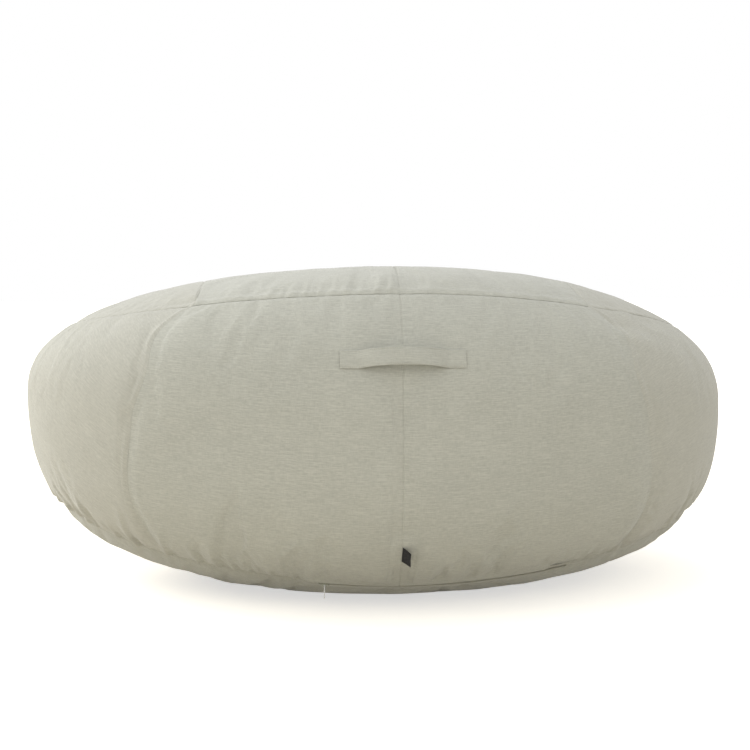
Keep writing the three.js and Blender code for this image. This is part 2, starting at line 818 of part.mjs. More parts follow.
function addLiner() {
  const shell = cut(closedSkin(linerDepth), closedSkin(linerTop));
  const slit = block(
    linerZipFrom,
    linerZipTo,
    -linerZipSlot,
    linerZipSlot,
    linerDepth - 1,
    linerTop + 1,
  );
  place("inner_liner", cut(shell, slit), linerCloth);
  for (const [side, sign] of [["front", -1], ["back", 1]]) {
    const strip = (name, near, far, low, high, material) => {
      const [y0, y1] = [near * sign, far * sign].sort((a, b) => a - b);
      place(name, block(linerZipFrom, linerZipTo, y0, y1, low, high), material);
    };
    const coilNear = coilGap / 2;
    const tapeHigh = linerTapeLow + tapeThickness;
    strip(`liner_zip_tape_${side}`, coilNear, tapeReach, linerTapeLow, tapeHigh, linerCloth);
    const coilFar = coilNear + coilWidth;
    strip(`liner_zip_coil_${side}`, coilNear, coilFar, linerCoilLow, linerCoilTop, coilPlastic);
  }
  const body = sliderBody({
    low: linerTapeLow - runningGap,
    high: linerCoilTop + runningGap,
    nearest: linerCoilLow,
    farthest: coilGap / 2 + coilWidth + runningGap,
  });
  const slider = place("liner_zip_slider", body, paintedMetal);
  slider.position.set(linerZipFrom + sliderLength / 2 + stopLength, 0, 0);
}

function addFilling() {
  const depth = linerTop + layerGap;
  const recess = block(
    linerZipFrom - fillingMargin,
    linerZipTo + fillingMargin,
    -tapeReach - fillingMargin,
    tapeReach + fillingMargin,
    0,
    linerCoilTop + runningGap + sliderPlate + layerGap,
  );
  place("bead_filling", cut(closedSkin(depth), recess), beads);
}

// ---------- assembly ----------
addWall("front_panel_left", leftFrontColumns);
addWall("front_panel_right", rightFrontColumns);
addWall("side_panel_right", rightColumns);
addWall("back_panel_right", rightBackColumns);
addWall("back_panel_left", leftBackColumns);
addWall("side_panel_left", leftColumns);
addCap();
addBase();
addChain();
addSlider();
addHandle();
addLabel();
addLiner();
addFilling();

const box = new THREE.Box3().setFromObject(pouf);
pouf.position.y = -(box.min.y + box.max.y) / 2;

// Turning centres and directions of what moves, before that move to the middle of the box, with
// the travel in degrees or millimetres.
pouf.userData.motion = {
  zip: { at: zipArc.centre, axis: zipArc.axis, travel: THREE.MathUtils.radToDeg(sliderTravel) },
  pull: { at: pullPivot, axis: zipFrame(sliderRest).across },
  handle: {
    at: onFront(handleX - freeHalf, handleZ).point.lerp(onFront(handleX + freeHalf, handleZ).point, 0.5),
    axis: new THREE.Vector3(1, 0, 0),
  },
  label: { at: labelFrame().root, axis: labelFrame().up },
  linerZip: { axis: new THREE.Vector3(1, 0, 0), travel: linerZipLength - sliderLength - 2 * stopLength },
};

export default pouf;
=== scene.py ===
import json

import bmesh
import bpy
import numpy as np
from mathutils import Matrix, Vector
from mathutils.kdtree import KDTree


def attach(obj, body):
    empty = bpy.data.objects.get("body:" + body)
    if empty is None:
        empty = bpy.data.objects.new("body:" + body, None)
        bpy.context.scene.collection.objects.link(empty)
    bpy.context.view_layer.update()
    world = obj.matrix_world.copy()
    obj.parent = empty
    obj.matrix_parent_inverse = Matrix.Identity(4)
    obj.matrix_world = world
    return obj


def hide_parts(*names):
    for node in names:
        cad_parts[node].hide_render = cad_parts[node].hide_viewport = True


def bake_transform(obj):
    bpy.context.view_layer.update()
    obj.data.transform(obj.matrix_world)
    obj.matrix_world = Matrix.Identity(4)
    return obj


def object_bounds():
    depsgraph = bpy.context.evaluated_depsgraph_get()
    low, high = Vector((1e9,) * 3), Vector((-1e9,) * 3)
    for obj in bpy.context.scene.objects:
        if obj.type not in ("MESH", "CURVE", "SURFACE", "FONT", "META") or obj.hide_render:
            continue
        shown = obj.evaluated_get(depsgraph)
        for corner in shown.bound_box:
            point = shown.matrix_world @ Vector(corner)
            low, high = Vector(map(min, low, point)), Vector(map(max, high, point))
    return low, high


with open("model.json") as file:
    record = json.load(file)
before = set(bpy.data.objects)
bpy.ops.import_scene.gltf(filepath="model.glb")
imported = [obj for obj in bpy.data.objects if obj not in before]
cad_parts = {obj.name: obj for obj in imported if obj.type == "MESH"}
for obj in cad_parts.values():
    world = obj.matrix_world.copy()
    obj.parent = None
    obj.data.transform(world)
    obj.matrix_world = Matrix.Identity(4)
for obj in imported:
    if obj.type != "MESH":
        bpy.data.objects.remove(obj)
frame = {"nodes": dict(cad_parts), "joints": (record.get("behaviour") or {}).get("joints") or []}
cad_low, cad_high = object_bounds()

# ---------- sizes of the pouf, in metres ----------
WIDTH, DEPTH, HEIGHT = 1.5, 1.1, 0.673
PLAN_POWER = 1.8
WAIST_HEIGHT, WAIST_DIP, WAIST_LEAN = 0.4025, 0.04, 0.0155
CROWN = np.array([0.0157, -0.2])
BASE_MIDDLE = np.array([0.0304, 0.0])
BASE_SINK = 0.0072
UPPER_POWER = {"front": 2.6, "back": 2, "left": 2.08, "right": 2.07}
LOWER_POWER = {"front": 2.8, "back": 2.8, "left": 2.83, "right": 2.99}
TOP_SEAM = {"ends": 31.5, "front": 55.4, "back": 42}
BASE_SEAM = {"ends": 25, "front": 51.7, "back": 51.7}
SEAM_ROUNDING = 0.2
SIDE_SEAM_LEAN = np.radians(4.6)
TOP_SEAM_BOW = 0.035
CLOTH = 0.0014
SEAM_GAP, TURN_IN = 0.00012, 0.009
ZIP_CLOSED_X, ZIP_OPEN_X = -0.15, 0.352
ZIP_LIP = 0.0047
TAPE_DEPTH, TAPE_REACH = 0.002, 0.015
COIL_HEIGHT, COIL_PITCH, COIL_WIRE = 0.0016, 0.0013, 0.00026
STOP_LENGTH, STOP_GAP, COIL_CLEARANCE = 0.003, 0.0004, 0.00035
HANDLE_X, HANDLE_Z = 0.002, 0.509
HANDLE_LENGTH, HANDLE_WIDTH, HANDLE_SEWN = 0.238, 0.035, 0.035
HANDLE_THICKNESS, HANDLE_BOW, HANDLE_FLATNESS = 0.0026, 0.028, 2.4
HANDLE_SEAT = 0.0006
FLAG_X, FLAG_Z = 0.0032, 0.136
FLAG_LENGTH, FLAG_REACH, FLAG_THICKNESS, FLAG_BEND = 0.038, 0.0195, 0.00036, 0.0006
FLAG_TURN = np.radians(50)
MIDDLE_Y = cad_high.y - DEPTH / 2  # the body's middle stands this far behind the box's
FRONT, RIGHT, BACK = np.radians([-90.0, 0.0, 90.0])
CORNER = np.radians(42)  # how far round from the ends the side seams stand


# ---------- the skin ----------
def signed_power(value, power):
    return np.sign(value) * np.abs(value) ** power


def around(theta, kind):
    """A value that differs front, back, left and right, blended round the body."""
    s, c = np.sin(theta), np.cos(theta)
    end = np.where(c < 0, kind["left"], kind["right"])
    side = kind["front"] + (kind["back"] - kind["front"]) * np.maximum(s, 0)
    return side * s * s + end * c * c


def waist_at(theta):
    low = WAIST_HEIGHT - WAIST_DIP
    ends = {"left": WAIST_HEIGHT + WAIST_LEAN, "right": WAIST_HEIGHT - WAIST_LEAN}
    return around(theta, {"front": low, "back": low, **ends})


def outline(theta):
    x = signed_power(np.cos(theta), 2 / PLAN_POWER) * WIDTH / 2
    y = signed_power(np.sin(theta), 2 / PLAN_POWER) * DEPTH / 2
    return np.stack([x, y], -1)


def skin(theta, latitude):
    """Points of the smooth body: latitude 0 is the waist and 90 degrees the crown."""
    theta, latitude = np.broadcast_arrays(theta, latitude)
    upper = latitude > 0
    power = 2 / np.where(upper, around(theta, UPPER_POWER), around(theta, LOWER_POWER))
    reach = np.maximum(np.cos(latitude), 0) ** power
    rise = np.sin(np.abs(latitude)) ** power
    waist = waist_at(theta)
    centre = np.where(upper[..., None], CROWN, BASE_MIDDLE)
    plan = centre + (outline(theta) - centre) * reach[..., None]
    low = np.maximum(waist - (waist + BASE_SINK) * rise, 0)
    z = np.where(upper, waist + (HEIGHT - waist) * rise, low)
    return np.concatenate([plan + [0, MIDDLE_Y], z[..., None]], -1)


def unit(vectors):
    return vectors / np.maximum(np.linalg.norm(vectors, axis=-1, keepdims=True), 1e-12)


def flat_latitude(theta):
    waist = waist_at(theta)
    return -np.arcsin((waist / (waist + BASE_SINK)) ** (around(theta, LOWER_POWER) / 2))


def skin_normal(theta, latitude):
    step = 0.01
    along = skin(theta + step, latitude) - skin(theta - step, latitude)
    up = skin(theta, latitude + step) - skin(theta, latitude - step)
    normal = unit(np.cross(along, up))
    flat = np.broadcast_to(latitude <= flat_latitude(theta) + 1e-6, normal.shape[:-1])
    return np.where(flat[..., None], [0, 0, -1], normal)


def seam_latitude(theta, seam):
    s = np.sin(theta)
    soft = np.hypot(s, SEAM_ROUNDING) - SEAM_ROUNDING
    whole = np.hypot(1, SEAM_ROUNDING) - SEAM_ROUNDING
    middle = np.where(s < 0, seam["front"], seam["back"])
    return np.radians(seam["ends"] + (middle - seam["ends"]) * soft / whole)


def top_seam(theta):
    return seam_latitude(theta, TOP_SEAM)


def base_seam(theta):
    return -seam_latitude(theta, BASE_SEAM)


def lean(theta, latitude):
    """How far the side seams bow towards the middle, most of all above the waist."""
    low, high = base_seam(theta), top_seam(theta)
    share = np.clip((latitude - low) / (high - low), 0, 1)
    fullest = 0.63
    width = np.where(share > fullest, 0.17, 0.24)
    bow = np.exp(-(((share - fullest) / width) ** 2)) * np.clip((1 - share) / 0.1, 0, 1)
    return SIDE_SEAM_LEAN * np.sin(2 * theta) * bow


def on_skin(theta_degrees, latitude_degrees):
    return skin(np.radians(theta_degrees), np.radians(latitude_degrees))


def seam_nearness(theta, latitude):
    """1 on the cover's seams, falling off over about 25 mm."""
    body_reach, falloff = 0.55, 0.022
    theta = theta - lean(theta, latitude)
    top, base = latitude - top_seam(theta), latitude - base_seam(theta)
    wrapped = np.abs((theta + np.pi) % (2 * np.pi) - np.pi)
    corner = np.minimum(np.abs(wrapped - CORNER), np.abs(wrapped - np.pi + CORNER))
    centre = np.abs(wrapped - np.pi / 2)
    reach = np.minimum(np.minimum(np.abs(top), np.abs(base)), np.minimum(corner, centre) * 1.3)
    return np.exp(-((reach * body_reach / falloff) ** 2))


# The plan direction of each longitude as seen from the crown, to find a longitude again.
ROUND = np.linspace(np.radians(-270), np.radians(90), 8193)
ROUND_FROM_CROWN = np.unwrap(np.arctan2(*(outline(ROUND) - CROWN).T[::-1]))


def cap_point(plan):
    """The point of the upper skin over a place in plan, and the way out of the cloth."""

    def height(spot):
        off = spot - CROWN
        bearing = np.arctan2(off[..., 1], off[..., 0])
        low = ROUND_FROM_CROWN[0]
        theta = np.interp((bearing - low) % (2 * np.pi) + low, ROUND_FROM_CROWN, ROUND)
        edge = np.linalg.norm(outline(theta) - CROWN, axis=-1)
        power = 2 / around(theta, UPPER_POWER)
        share = np.clip(np.linalg.norm(off, axis=-1) / edge, 0, 1) ** (1 / power)
        waist = waist_at(theta)
        return waist + (HEIGHT - waist) * np.sqrt(np.maximum(1 - share**2, 0)) ** power

    step = 0.002
    slope_x = (height(plan + [step, 0]) - height(plan - [step, 0])) / (2 * step)
    slope_y = (height(plan + [0, step]) - height(plan - [0, step])) / (2 * step)
    z = height(plan)
    out = unit(np.stack([-slope_x, -slope_y, np.ones_like(z)], -1))
    return np.concatenate([plan + [0, MIDDLE_Y], z[..., None]], -1), out


def front_point(x, z):
    """The point of the front at a place seen from the front, and the way out there."""
    theta = np.full(np.shape(x), FRONT)
    latitude = np.full(np.shape(x), 0.5 if np.mean(z) > 0.36 else -0.6)
    step = 1e-4
    for _ in range(25):
        here = skin(theta, latitude)
        turn = (skin(theta + step, latitude) - here) / step
        rise = (skin(theta, latitude + step) - here) / step
        off_x, off_z = x - here[..., 0], z - here[..., 2]
        size = turn[..., 0] * rise[..., 2] - turn[..., 2] * rise[..., 0]
        theta = theta + np.clip((off_x * rise[..., 2] - off_z * rise[..., 0]) / size, -0.2, 0.2)
        move = (off_z * turn[..., 0] - off_x * turn[..., 2]) / size
        latitude = latitude + np.clip(move, -0.2, 0.2)
    return skin(theta, latitude), skin_normal(theta, latitude)


# ---------- how cloth stands off the smooth skin ----------
def hump(distance, height, width):
    return height * np.exp(-((distance / width) ** 2))


def ease(value):
    value = np.clip(value, 0, 1)
    return value * value * (3 - 2 * value)


def drift(points, length, seed):
    """A slow unevenness from -1 to 1 over the surface."""
    rng = np.random.default_rng(seed)
    total = np.zeros(points.shape[:-1])
    count = 9
    for _ in range(count):
        wave = unit(rng.normal(size=3)) * 2 * np.pi / (length * rng.uniform(0.7, 1.6))
        total = total + np.sin(points @ wave + rng.uniform(0, 2 * np.pi))
    return total / count**0.5


def gathers(along, spacing, seed):
    """Small puckers along a seam: humps at uneven steps with hollows between them."""
    rng = np.random.default_rng(seed)
    places = np.arange(along.min() - 0.1, along.max() + 0.1, 0.0005)
    table = np.zeros_like(places)
    at = places[0]
    while at < places[-1]:
        width = spacing * rng.uniform(0.22, 0.4)
        table += hump(places - at, rng.uniform(0.25, 1), width)
        table -= hump(places - at - 1.7 * width, rng.uniform(0.1, 0.6), width)
        at += spacing * rng.uniform(0.6, 1.7)
    return np.interp(along, places, table)


def fold(points, root, tip, height, width):
    """A crease that stands up at a seam and fades out towards its tip."""
    root, tip = on_skin(*root), on_skin(*tip)
    length = np.linalg.norm(tip - root)
    way = (tip - root) / length
    aside = unit(np.cross(way, unit(root - [0, MIDDLE_Y, root[2]])))
    aside = aside if aside[0] > 0 or abs(aside[0]) < 0.3 else -aside
    off = points - root
    share = off @ way / length
    fade = ease((share + 0.12) / 0.12) * np.clip(1 - share, 0, 1) ** 1.3
    spread = width * (1 + 0.9 * np.clip(share, 0, 1))
    side = off @ aside
    crest = np.exp(-np.abs(side / spread) ** 1.6)
    hollow = 0.75 * np.exp(-(((side - 1.55 * spread) / spread) ** 2))
    return height * fade * (crest - hollow) * (np.linalg.norm(off, axis=-1) < 2 * length)


def calm(points):
    """0 where the handle, the zip and the flag need a true seat, and 1 elsewhere."""
    x, y, z = np.moveaxis(points, -1, 0)
    aside = np.maximum(np.abs(x - HANDLE_X) - HANDLE_LENGTH / 2, 0)
    off = np.hypot(aside, np.maximum(np.abs(z - HANDLE_Z) - HANDLE_WIDTH / 2, 0))
    quiet = np.where(y < 0, ease(off / 0.035), 1)
    flag = np.hypot(x - 0.003, z - FLAG_Z)
    quiet = quiet * np.where(y < 0, ease((flag - 0.018) / 0.03), 1)
    low = (y < -0.15) & (z < 0.16) & (x > -0.24) & (x < 0.44)
    turns = np.radians(np.linspace(-126, -58, 140))
    seam = skin(turns, base_seam(turns))
    seam = seam[(seam[:, 0] > ZIP_CLOSED_X - 0.01) & (seam[:, 0] < ZIP_OPEN_X + 0.01)]
    near = points[low]
    if len(near):
        gap = np.full(len(near), 9.0)
        for place in seam:
            gap = np.minimum(gap, ((near - place) ** 2).sum(-1))
        quiet[low] = quiet[low] * ease((np.sqrt(gap) - 0.009) / 0.03)
    return quiet


def unevenness(points):
    return (0.0011 * drift(points, 0.34, 3) + 0.0004 * drift(points, 0.09, 4)) * calm(points)


# ---------- meshes ----------
def placed(name, data):
    made = bpy.data.objects.new(name, data)
    bpy.context.scene.collection.objects.link(made)
    return made


def arc_lengths(points, axis):
    steps = np.linalg.norm(np.diff(points, axis=axis), axis=-1)
    room = [(1, 0) if k == axis else (0, 0) for k in range(steps.ndim)]
    return np.cumsum(np.pad(steps, room), axis=axis)


def mesh_of(name, points, faces, grain=None):
    mesh = bpy.data.meshes.new(name)
    mesh.vertices.add(len(points))
    mesh.vertices.foreach_set("co", np.asarray(points, np.float32).ravel())
    faces = np.asarray(faces, np.int32)
    mesh.loops.add(faces.size)
    mesh.loops.foreach_set("vertex_index", faces.ravel())
    mesh.polygons.add(len(faces))
    starts = np.arange(0, faces.size, faces.shape[1], dtype=np.int32)
    mesh.polygons.foreach_set("loop_start", starts)
    mesh.polygons.foreach_set("loop_total", np.full(len(faces), faces.shape[1], np.int32))
    if grain is not None:
        layer = mesh.uv_layers.new(name="grain")
        layer.data.foreach_set("uv", grain[faces.ravel()].astype(np.float32).ravel())
    mesh.update(calc_edges=True)
    mesh.validate()
    mesh.polygons.foreach_set("use_smooth", np.ones(len(mesh.polygons), bool))
    return placed(name, mesh)


def grid_faces(columns, rows, flip=False, start=0, wrap=False):
    i = np.arange(columns if wrap else columns - 1)[:, None]
    j = np.arange(rows - 1)[None, :]
    here, there = i * rows + j, (i + 1) % columns * rows + j
    corners = [here, there, there + 1, here + 1]
    corners = corners[::-1] if flip else corners
    return np.stack(corners, -1).reshape(-1, 4) + start


def closed_skin(depth_of, columns, rows):
    """The whole body as one closed shell some way inside the skin."""
    theta = np.linspace(-np.pi, np.pi, columns, endpoint=False)[:, None]
    low = flat_latitude(theta)
    share = np.linspace(0, 1, rows)[None]
    latitude = low + (np.radians(89.2) - low) * share
    theta = np.broadcast_to(theta, latitude.shape)
    out = skin_normal(theta, latitude)
    points = skin(theta, latitude) - out * depth_of(theta, latitude)[..., None]
    flat_z = depth_of(theta[:, :1], latitude[:, :1])
    rim = points[:, :1].copy()
    points[..., 2] = np.maximum(points[..., 2], 0.0)
    rim[..., 2] = flat_z
    middle = np.array([BASE_MIDDLE[0], MIDDLE_Y, 0]) + [0, 0, flat_z.mean()]
    inward = np.linspace(0.004, 0.985, 26)[None, :, None]
    disc = middle + (rim - middle) * inward
    points = np.concatenate([disc, points], 1)
    faces = grid_faces(columns, points.shape[1], wrap=True)
    return points, faces


def close_ends(points, faces):
    """Adds a middle point to each end, and the triangles that close it."""
    columns, rows = points.shape[:2]
    flat = points.reshape(-1, 3)
    top, bottom = points[:, -1].mean(0), points[:, 0].mean(0)
    flat = np.concatenate([flat, [top, bottom]])
    i = np.arange(columns)
    after = (i + 1) % columns
    tip, foot = len(flat) - 2, len(flat) - 1
    upper = np.stack([i * rows + rows - 1, after * rows + rows - 1, 0 * i + tip, 0 * i + tip], -1)
    lower = np.stack([after * rows, i * rows, 0 * i + foot, 0 * i + foot], -1)
    return flat, faces, np.concatenate([upper, lower])[:, :3]


def thicken(piece, thickness, offset=-1):
    solid = piece.modifiers.new("cloth thickness", "SOLIDIFY")
    solid.thickness = thickness
    solid.offset = offset
    solid.use_rim = True


def held_edge(values, axis, last):
    """Adds a row close beside an edge, so that the cloth turns in there sharply."""
    values = np.moveaxis(values, axis, 0)
    values = values[::-1] if last else values
    near = 0.15 if axis else 0.05
    close = values[:1] * (1 - near) + values[1:2] * near
    values = np.concatenate([values[:1], close, values[1:]])
    values = values[::-1] if last else values
    return np.moveaxis(values, 0, axis)


def panel(
    name, node, points, out, lift, grain, turns, cloth, flip=False, shallow=None
):
    """A cloth panel over a grid of skin points, with its edges turned in along the seams.

    turns says how deep the borders go: first column, last column, first row, last row.
    shallow is the share of that which each column of the first row leaves out.
    """
    shell = points + out * lift[..., None]
    for axis in (0, 1):
        for last in (False, True):
            if turns[2 * axis + last]:
                shell, out, grain = (held_edge(a, axis, last) for a in (shell, out, grain))
    out = unit(out)
    borders = [tuple(2 if deep else 0 for deep in turns[k : k + 2]) for k in (0, 2)]
    room = [*borders, (0, 0)]
    shell, out, grain = (np.pad(a, room, mode="edge") for a in (shell, out, grain))
    columns, rows = shell.shape[:2]
    depth = np.zeros((columns, rows))
    edges = [(0, 1), (-1, -2)]
    for k, deep in enumerate(turns):
        if not deep:
            continue
        outer, inner = edges[k % 2]
        axis = (slice(None),) if k > 1 else ()
        if k == 2 and shallow is not None:
            places = np.linspace(0, columns - 1, len(shallow))
            shallow = np.interp(np.arange(columns), places, shallow)
            deep = deep * (1 - shallow)
        depth[(*axis, outer)] = np.maximum(depth[(*axis, outer)], deep)
        depth[(*axis, inner)] = np.maximum(depth[(*axis, inner)], deep * 0.4)
    shell = shell - out * depth[..., None]
    grain = grain + depth[..., None]
    faces = grid_faces(columns, rows, flip)
    i, j = np.divmod(faces.min(-1), rows)
    in_columns = (i < borders[0][0]) | (i >= columns - 1 - borders[0][1])
    in_rows = (j < borders[1][0]) | (j >= rows - 1 - borders[1][1])
    faces = faces[~(in_columns & in_rows)]
    piece = mesh_of(name, shell.reshape(-1, 3), faces, grain.reshape(-1, 2))
    thicken(piece, CLOTH)
    piece.data.materials.append(cloth)
    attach(piece, "pouf")
    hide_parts(node)
    return piece


def spaced(count, power):
    """Shares from 0 to 1, closer together at 0."""
    return np.linspace(0, 1, count) ** power


def spaced_both(count, power):
    """Shares from 0 to 1, closer together at both ends."""
    half = np.linspace(-1, 1, count)
    return 0.5 + 0.5 * np.sign(half) * (1 - (1 - np.abs(half)) ** power)


# ---------- shader groups ----------
def add(tree, kind, values=None, **settings):
    node = tree.nodes.new("ShaderNode" + kind)
    for name, value in settings.items():
        setattr(node, name, value)
    for name, value in (values or {}).items():
        if isinstance(value, bpy.types.NodeSocket):
            tree.links.new(value, node.inputs[name])
        else:
            node.inputs[name].default_value = value
    return node


def maths(tree, operation, *values):
    return add(tree, "Math", dict(enumerate(values)), operation=operation).outputs[0]


def blended(tree, share, low, high):
    node = add(tree, "Mix", {0: share, 6: low, 7: high}, data_type="RGBA")
    return node.outputs[2]


def group(name, inputs, outputs, build):
    tree = bpy.data.node_groups.new(name, "ShaderNodeTree")
    kinds = {"number": "NodeSocketFloat", "vector": "NodeSocketVector", "colour": "NodeSocketColor"}
    for label, kind, value in inputs:
        socket = tree.interface.new_socket(label, in_out="INPUT", socket_type=kinds[kind])
        if value is not None:
            socket.default_value = value
    for label, kind in outputs:
        tree.interface.new_socket(label, in_out="OUTPUT", socket_type=kinds[kind])
    given = tree.nodes.new("NodeGroupInput")
    result = tree.nodes.new("NodeGroupOutput")
    made = build(tree, {label: given.outputs[label] for label, _, _ in inputs})
    for label, socket in made.items():
        tree.links.new(socket, result.inputs[label])
    return tree


def place_group(tree, shared, **values):
    node = tree.nodes.new("ShaderNodeGroup")
    node.node_tree = shared
    for name, value in values.items():
        label = name.replace("_", " ")
        if isinstance(value, bpy.types.NodeSocket):
            tree.links.new(value, node.inputs[label])
        else:
            node.inputs[label].default_value = value
    return node


def stretched_noise(tree, place, across, up, detail=2.0, seed=0.0):
    """Noise whose grains are 1/across by 1/up metres."""
    grains = {"Vector": place, "Location": (seed, seed, 0), "Scale": (across, up, 1)}
    scaled = add(tree, "Mapping", grains)
    noise = add(
        tree,
        "TexNoise",
        {"Vector": scaled.outputs[0], "Scale": 1.0, "Detail": detail, "Roughness": 0.5},
        noise_dimensions="2D",
    )
    return noise.outputs[0]


def build_melange(tree, given):
    place = given["Grain"]
    slub = stretched_noise(tree, place, 95, 500, 2.0)
    streak = stretched_noise(tree, place, 22, 620, 1.0, 7.3)
    warp = stretched_noise(tree, place, 700, 70, 1.0, 3.1)
    cloud = stretched_noise(tree, place, 9, 14, 2.0, 11.7)
    streak = maths(tree, "SUBTRACT", maths(tree, "POWER", streak, 3.0), 0.14)
    total = maths(tree, "MULTIPLY", maths(tree, "SUBTRACT", slub, 0.5), 1.5)
    total = maths(tree, "MULTIPLY_ADD", streak, 1.7, total)
    total = maths(tree, "MULTIPLY_ADD", maths(tree, "SUBTRACT", warp, 0.5), 0.7, total)
    total = maths(tree, "MULTIPLY_ADD", maths(tree, "SUBTRACT", cloud, 0.5), 0.35, total)
    share = maths(tree, "MULTIPLY_ADD", total, given["Contrast"], 0.5)
    share = maths(tree, "MINIMUM", maths(tree, "MAXIMUM", share, 0.0), 1.0)
    shade = blended(tree, share, given["Dark"], given["Light"])
    rough = maths(tree, "MULTIPLY_ADD", slub, 0.1, 0.84)
    return {"Colour": shade, "Slub": slub, "Roughness": rough}


def build_weave(tree, given):
    place = add(tree, "SeparateXYZ", {0: given["Grain"]})
    turns = maths(tree, "DIVIDE", 2 * np.pi, given["Thread"])
    across = maths(tree, "SINE", maths(tree, "MULTIPLY", place.outputs[0], turns))
    up = maths(tree, "SINE", maths(tree, "MULTIPLY", place.outputs[1], turns))
    knots = maths(tree, "MULTIPLY_ADD", maths(tree, "MULTIPLY", across, up), 0.5, 0.5)
    return {"Height": maths(tree, "MULTIPLY_ADD", given["Slub"], 1.6, knots)}


MELANGE = group(
    "Melange yarn",
    [
        ("Grain", "vector", None),
        ("Dark", "colour", (0.3, 0.3, 0.3, 1)),
        ("Light", "colour", (0.6, 0.6, 0.6, 1)),
        ("Contrast", "number", 1.0),
    ],
    [("Colour", "colour"), ("Slub", "number"), ("Roughness", "number")],
    build_melange,
)
WEAVE = group(
    "Plain weave",
    [("Grain", "vector", None), ("Thread", "number", 0.0011), ("Slub", "number", 0.5)],
    [("Height", "number")],
    build_weave,
)


def linear(red, green, blue):
    values = np.array([red, green, blue]) / 255
    lit = np.where(values <= 0.04045, values / 12.92, ((values + 0.055) / 1.055) ** 2.4)
    return (*lit.tolist(), 1.0)


def shaded(colour, share):
    return (*(min(value * share, 1.0) for value in colour[:3]), 1.0)


def material(name, sockets=None):
    made = bpy.data.materials.new(name)
    made.use_nodes = True
    tree = made.node_tree
    shader = tree.nodes["Principled BSDF"]
    for label, value in (sockets or {}).items():
        shader.inputs[label].default_value = value
    return made, tree, shader


def join_finish(tree, shader, surface, height, bump, distance):
    """Feeds a finish's colour, roughness and relief to the shader."""
    relief = add(tree, "Bump", {"Strength": bump, "Distance": distance, "Height": height})
    tree.links.new(surface.outputs["Colour"], shader.inputs["Base Color"])
    tree.links.new(surface.outputs["Roughness"], shader.inputs["Roughness"])
    tree.links.new(relief.outputs[0], shader.inputs["Normal"])


def woven(name, colour, contrast=1.0, spread=0.12, thread=0.0011, bump=0.3, sheen=0.35, turn=0.0):
    """Cloth of slubby melange yarn in a plain weave, its grain turned by an angle."""
    made, tree, shader = material(
        name,
        {"Sheen Weight": sheen, "Sheen Roughness": 0.45, "Specular IOR Level": 0.25},
    )
    grain = add(tree, "UVMap", uv_map="grain").outputs[0]
    grain = add(tree, "Mapping", {"Vector": grain, "Rotation": (0, 0, np.radians(turn))}).outputs[0]
    yarn = place_group(
        tree,
        MELANGE,
        Grain=grain,
        Dark=shaded(colour, 1 - spread),
        Light=shaded(colour, 1 + spread),
        Contrast=contrast,
    )
    height = place_group(tree, WEAVE, Grain=grain, Thread=thread, Slub=yarn.outputs["Slub"])
    join_finish(tree, shader, yarn, height.outputs["Height"], bump, 0.0006)
    return made


def build_wear(tree, given):
    place = add(tree, "TexCoord").outputs["Object"]
    fine = add(tree, "TexNoise", {"Vector": place, "Scale": given["Grain size"], "Detail": 4.0})
    broad = add(tree, "TexNoise", {"Vector": place, "Scale": 120.0, "Detail": 2.0})
    share = maths(tree, "MULTIPLY", broad.outputs[0], fine.outputs[0])
    shade = blended(tree, share, given["Dark"], given["Light"])
    rough = maths(tree, "MULTIPLY_ADD", fine.outputs[0], given["Rough spread"], given["Rough"])
    return {"Colour": shade, "Roughness": rough, "Height": fine.outputs[0]}


WEAR = group(
    "Handled surface",
    [
        ("Grain size", "number", 900.0),
        ("Dark", "colour", (0.3, 0.3, 0.3, 1)),
        ("Light", "colour", (0.6, 0.6, 0.6, 1)),
        ("Rough", "number", 0.3),
        ("Rough spread", "number", 0.2),
    ],
    [("Colour", "colour"), ("Roughness", "number"), ("Height", "number")],
    build_wear,
)


def handled(name, colour, rough, spread=0.15, metallic=0.0, grain_size=900.0, bump=0.1, coat=0.0):
    """Paint, plastic or bare metal with fine uneven wear."""
    made, tree, shader = material(name, {"Metallic": metallic, "Coat Weight": coat})
    worn = place_group(
        tree,
        WEAR,
        Grain_size=grain_size,
        Dark=shaded(colour, 1 - spread),
        Light=shaded(colour, 1 + 2 * spread),
        Rough=rough,
        Rough_spread=0.2,
    )
    join_finish(tree, shader, worn, worn.outputs["Height"], bump, 0.0002)
    return made


SAGE = linear(179, 179, 168)
front_cloth = woven("Sage linen weave", SAGE)
SIDE_SAGE = (SAGE[0] * 1.012, SAGE[1], SAGE[2] * 0.995, 1.0)
side_cloth = woven("Sage linen weave cut on the cross", SIDE_SAGE, 0.85, turn=24)
side_cloth_right = woven("Sage linen weave cut the other way", SIDE_SAGE, 0.85, turn=-12)
# painted shade: the base cloth is the sage colour made 3% darker, standing in for the shade on the
# underside
base_cloth_painted_shade = woven("Sage linen base cloth with painted shade", shaded(SAGE, 0.97))
strap_cloth = woven("Sage strap cloth", SAGE, contrast=0.8, thread=0.0009)
# painted light: the zip tape is coloured lighter than the sage cloth, to offset the shade down in the
# zip's slot
lightened_tape_cloth = woven("Zip tape ribs painted lighter", linear(184, 182, 168), 0.3, thread=0.0007, bump=0.5)
label_cloth = woven("Black woven tape", linear(30, 29, 28), 0.5, thread=0.0005, bump=0.4, sheen=0.1)
bag_cloth = woven("White bag cloth", linear(235, 233, 226), 0.4, spread=0.05, thread=0.0008)
thread = handled("Sage sewing thread", linear(170, 168, 152), 0.7, grain_size=3000)
coil_plastic = handled("Dyed coil plastic", linear(180, 178, 164), 0.4)
painted = handled("Painted zip metal", linear(150, 151, 132), 0.4, metallic=0.1, coat=0.2)
bright = handled("Brushed pull metal", linear(196, 195, 190), 0.28, metallic=0.9)
liner_tape = handled("White tape", linear(228, 226, 220), 0.8, grain_size=1600)
bead_foam = handled("Bead foam", linear(244, 244, 240), 0.7, grain_size=260.0, bump=0.6)


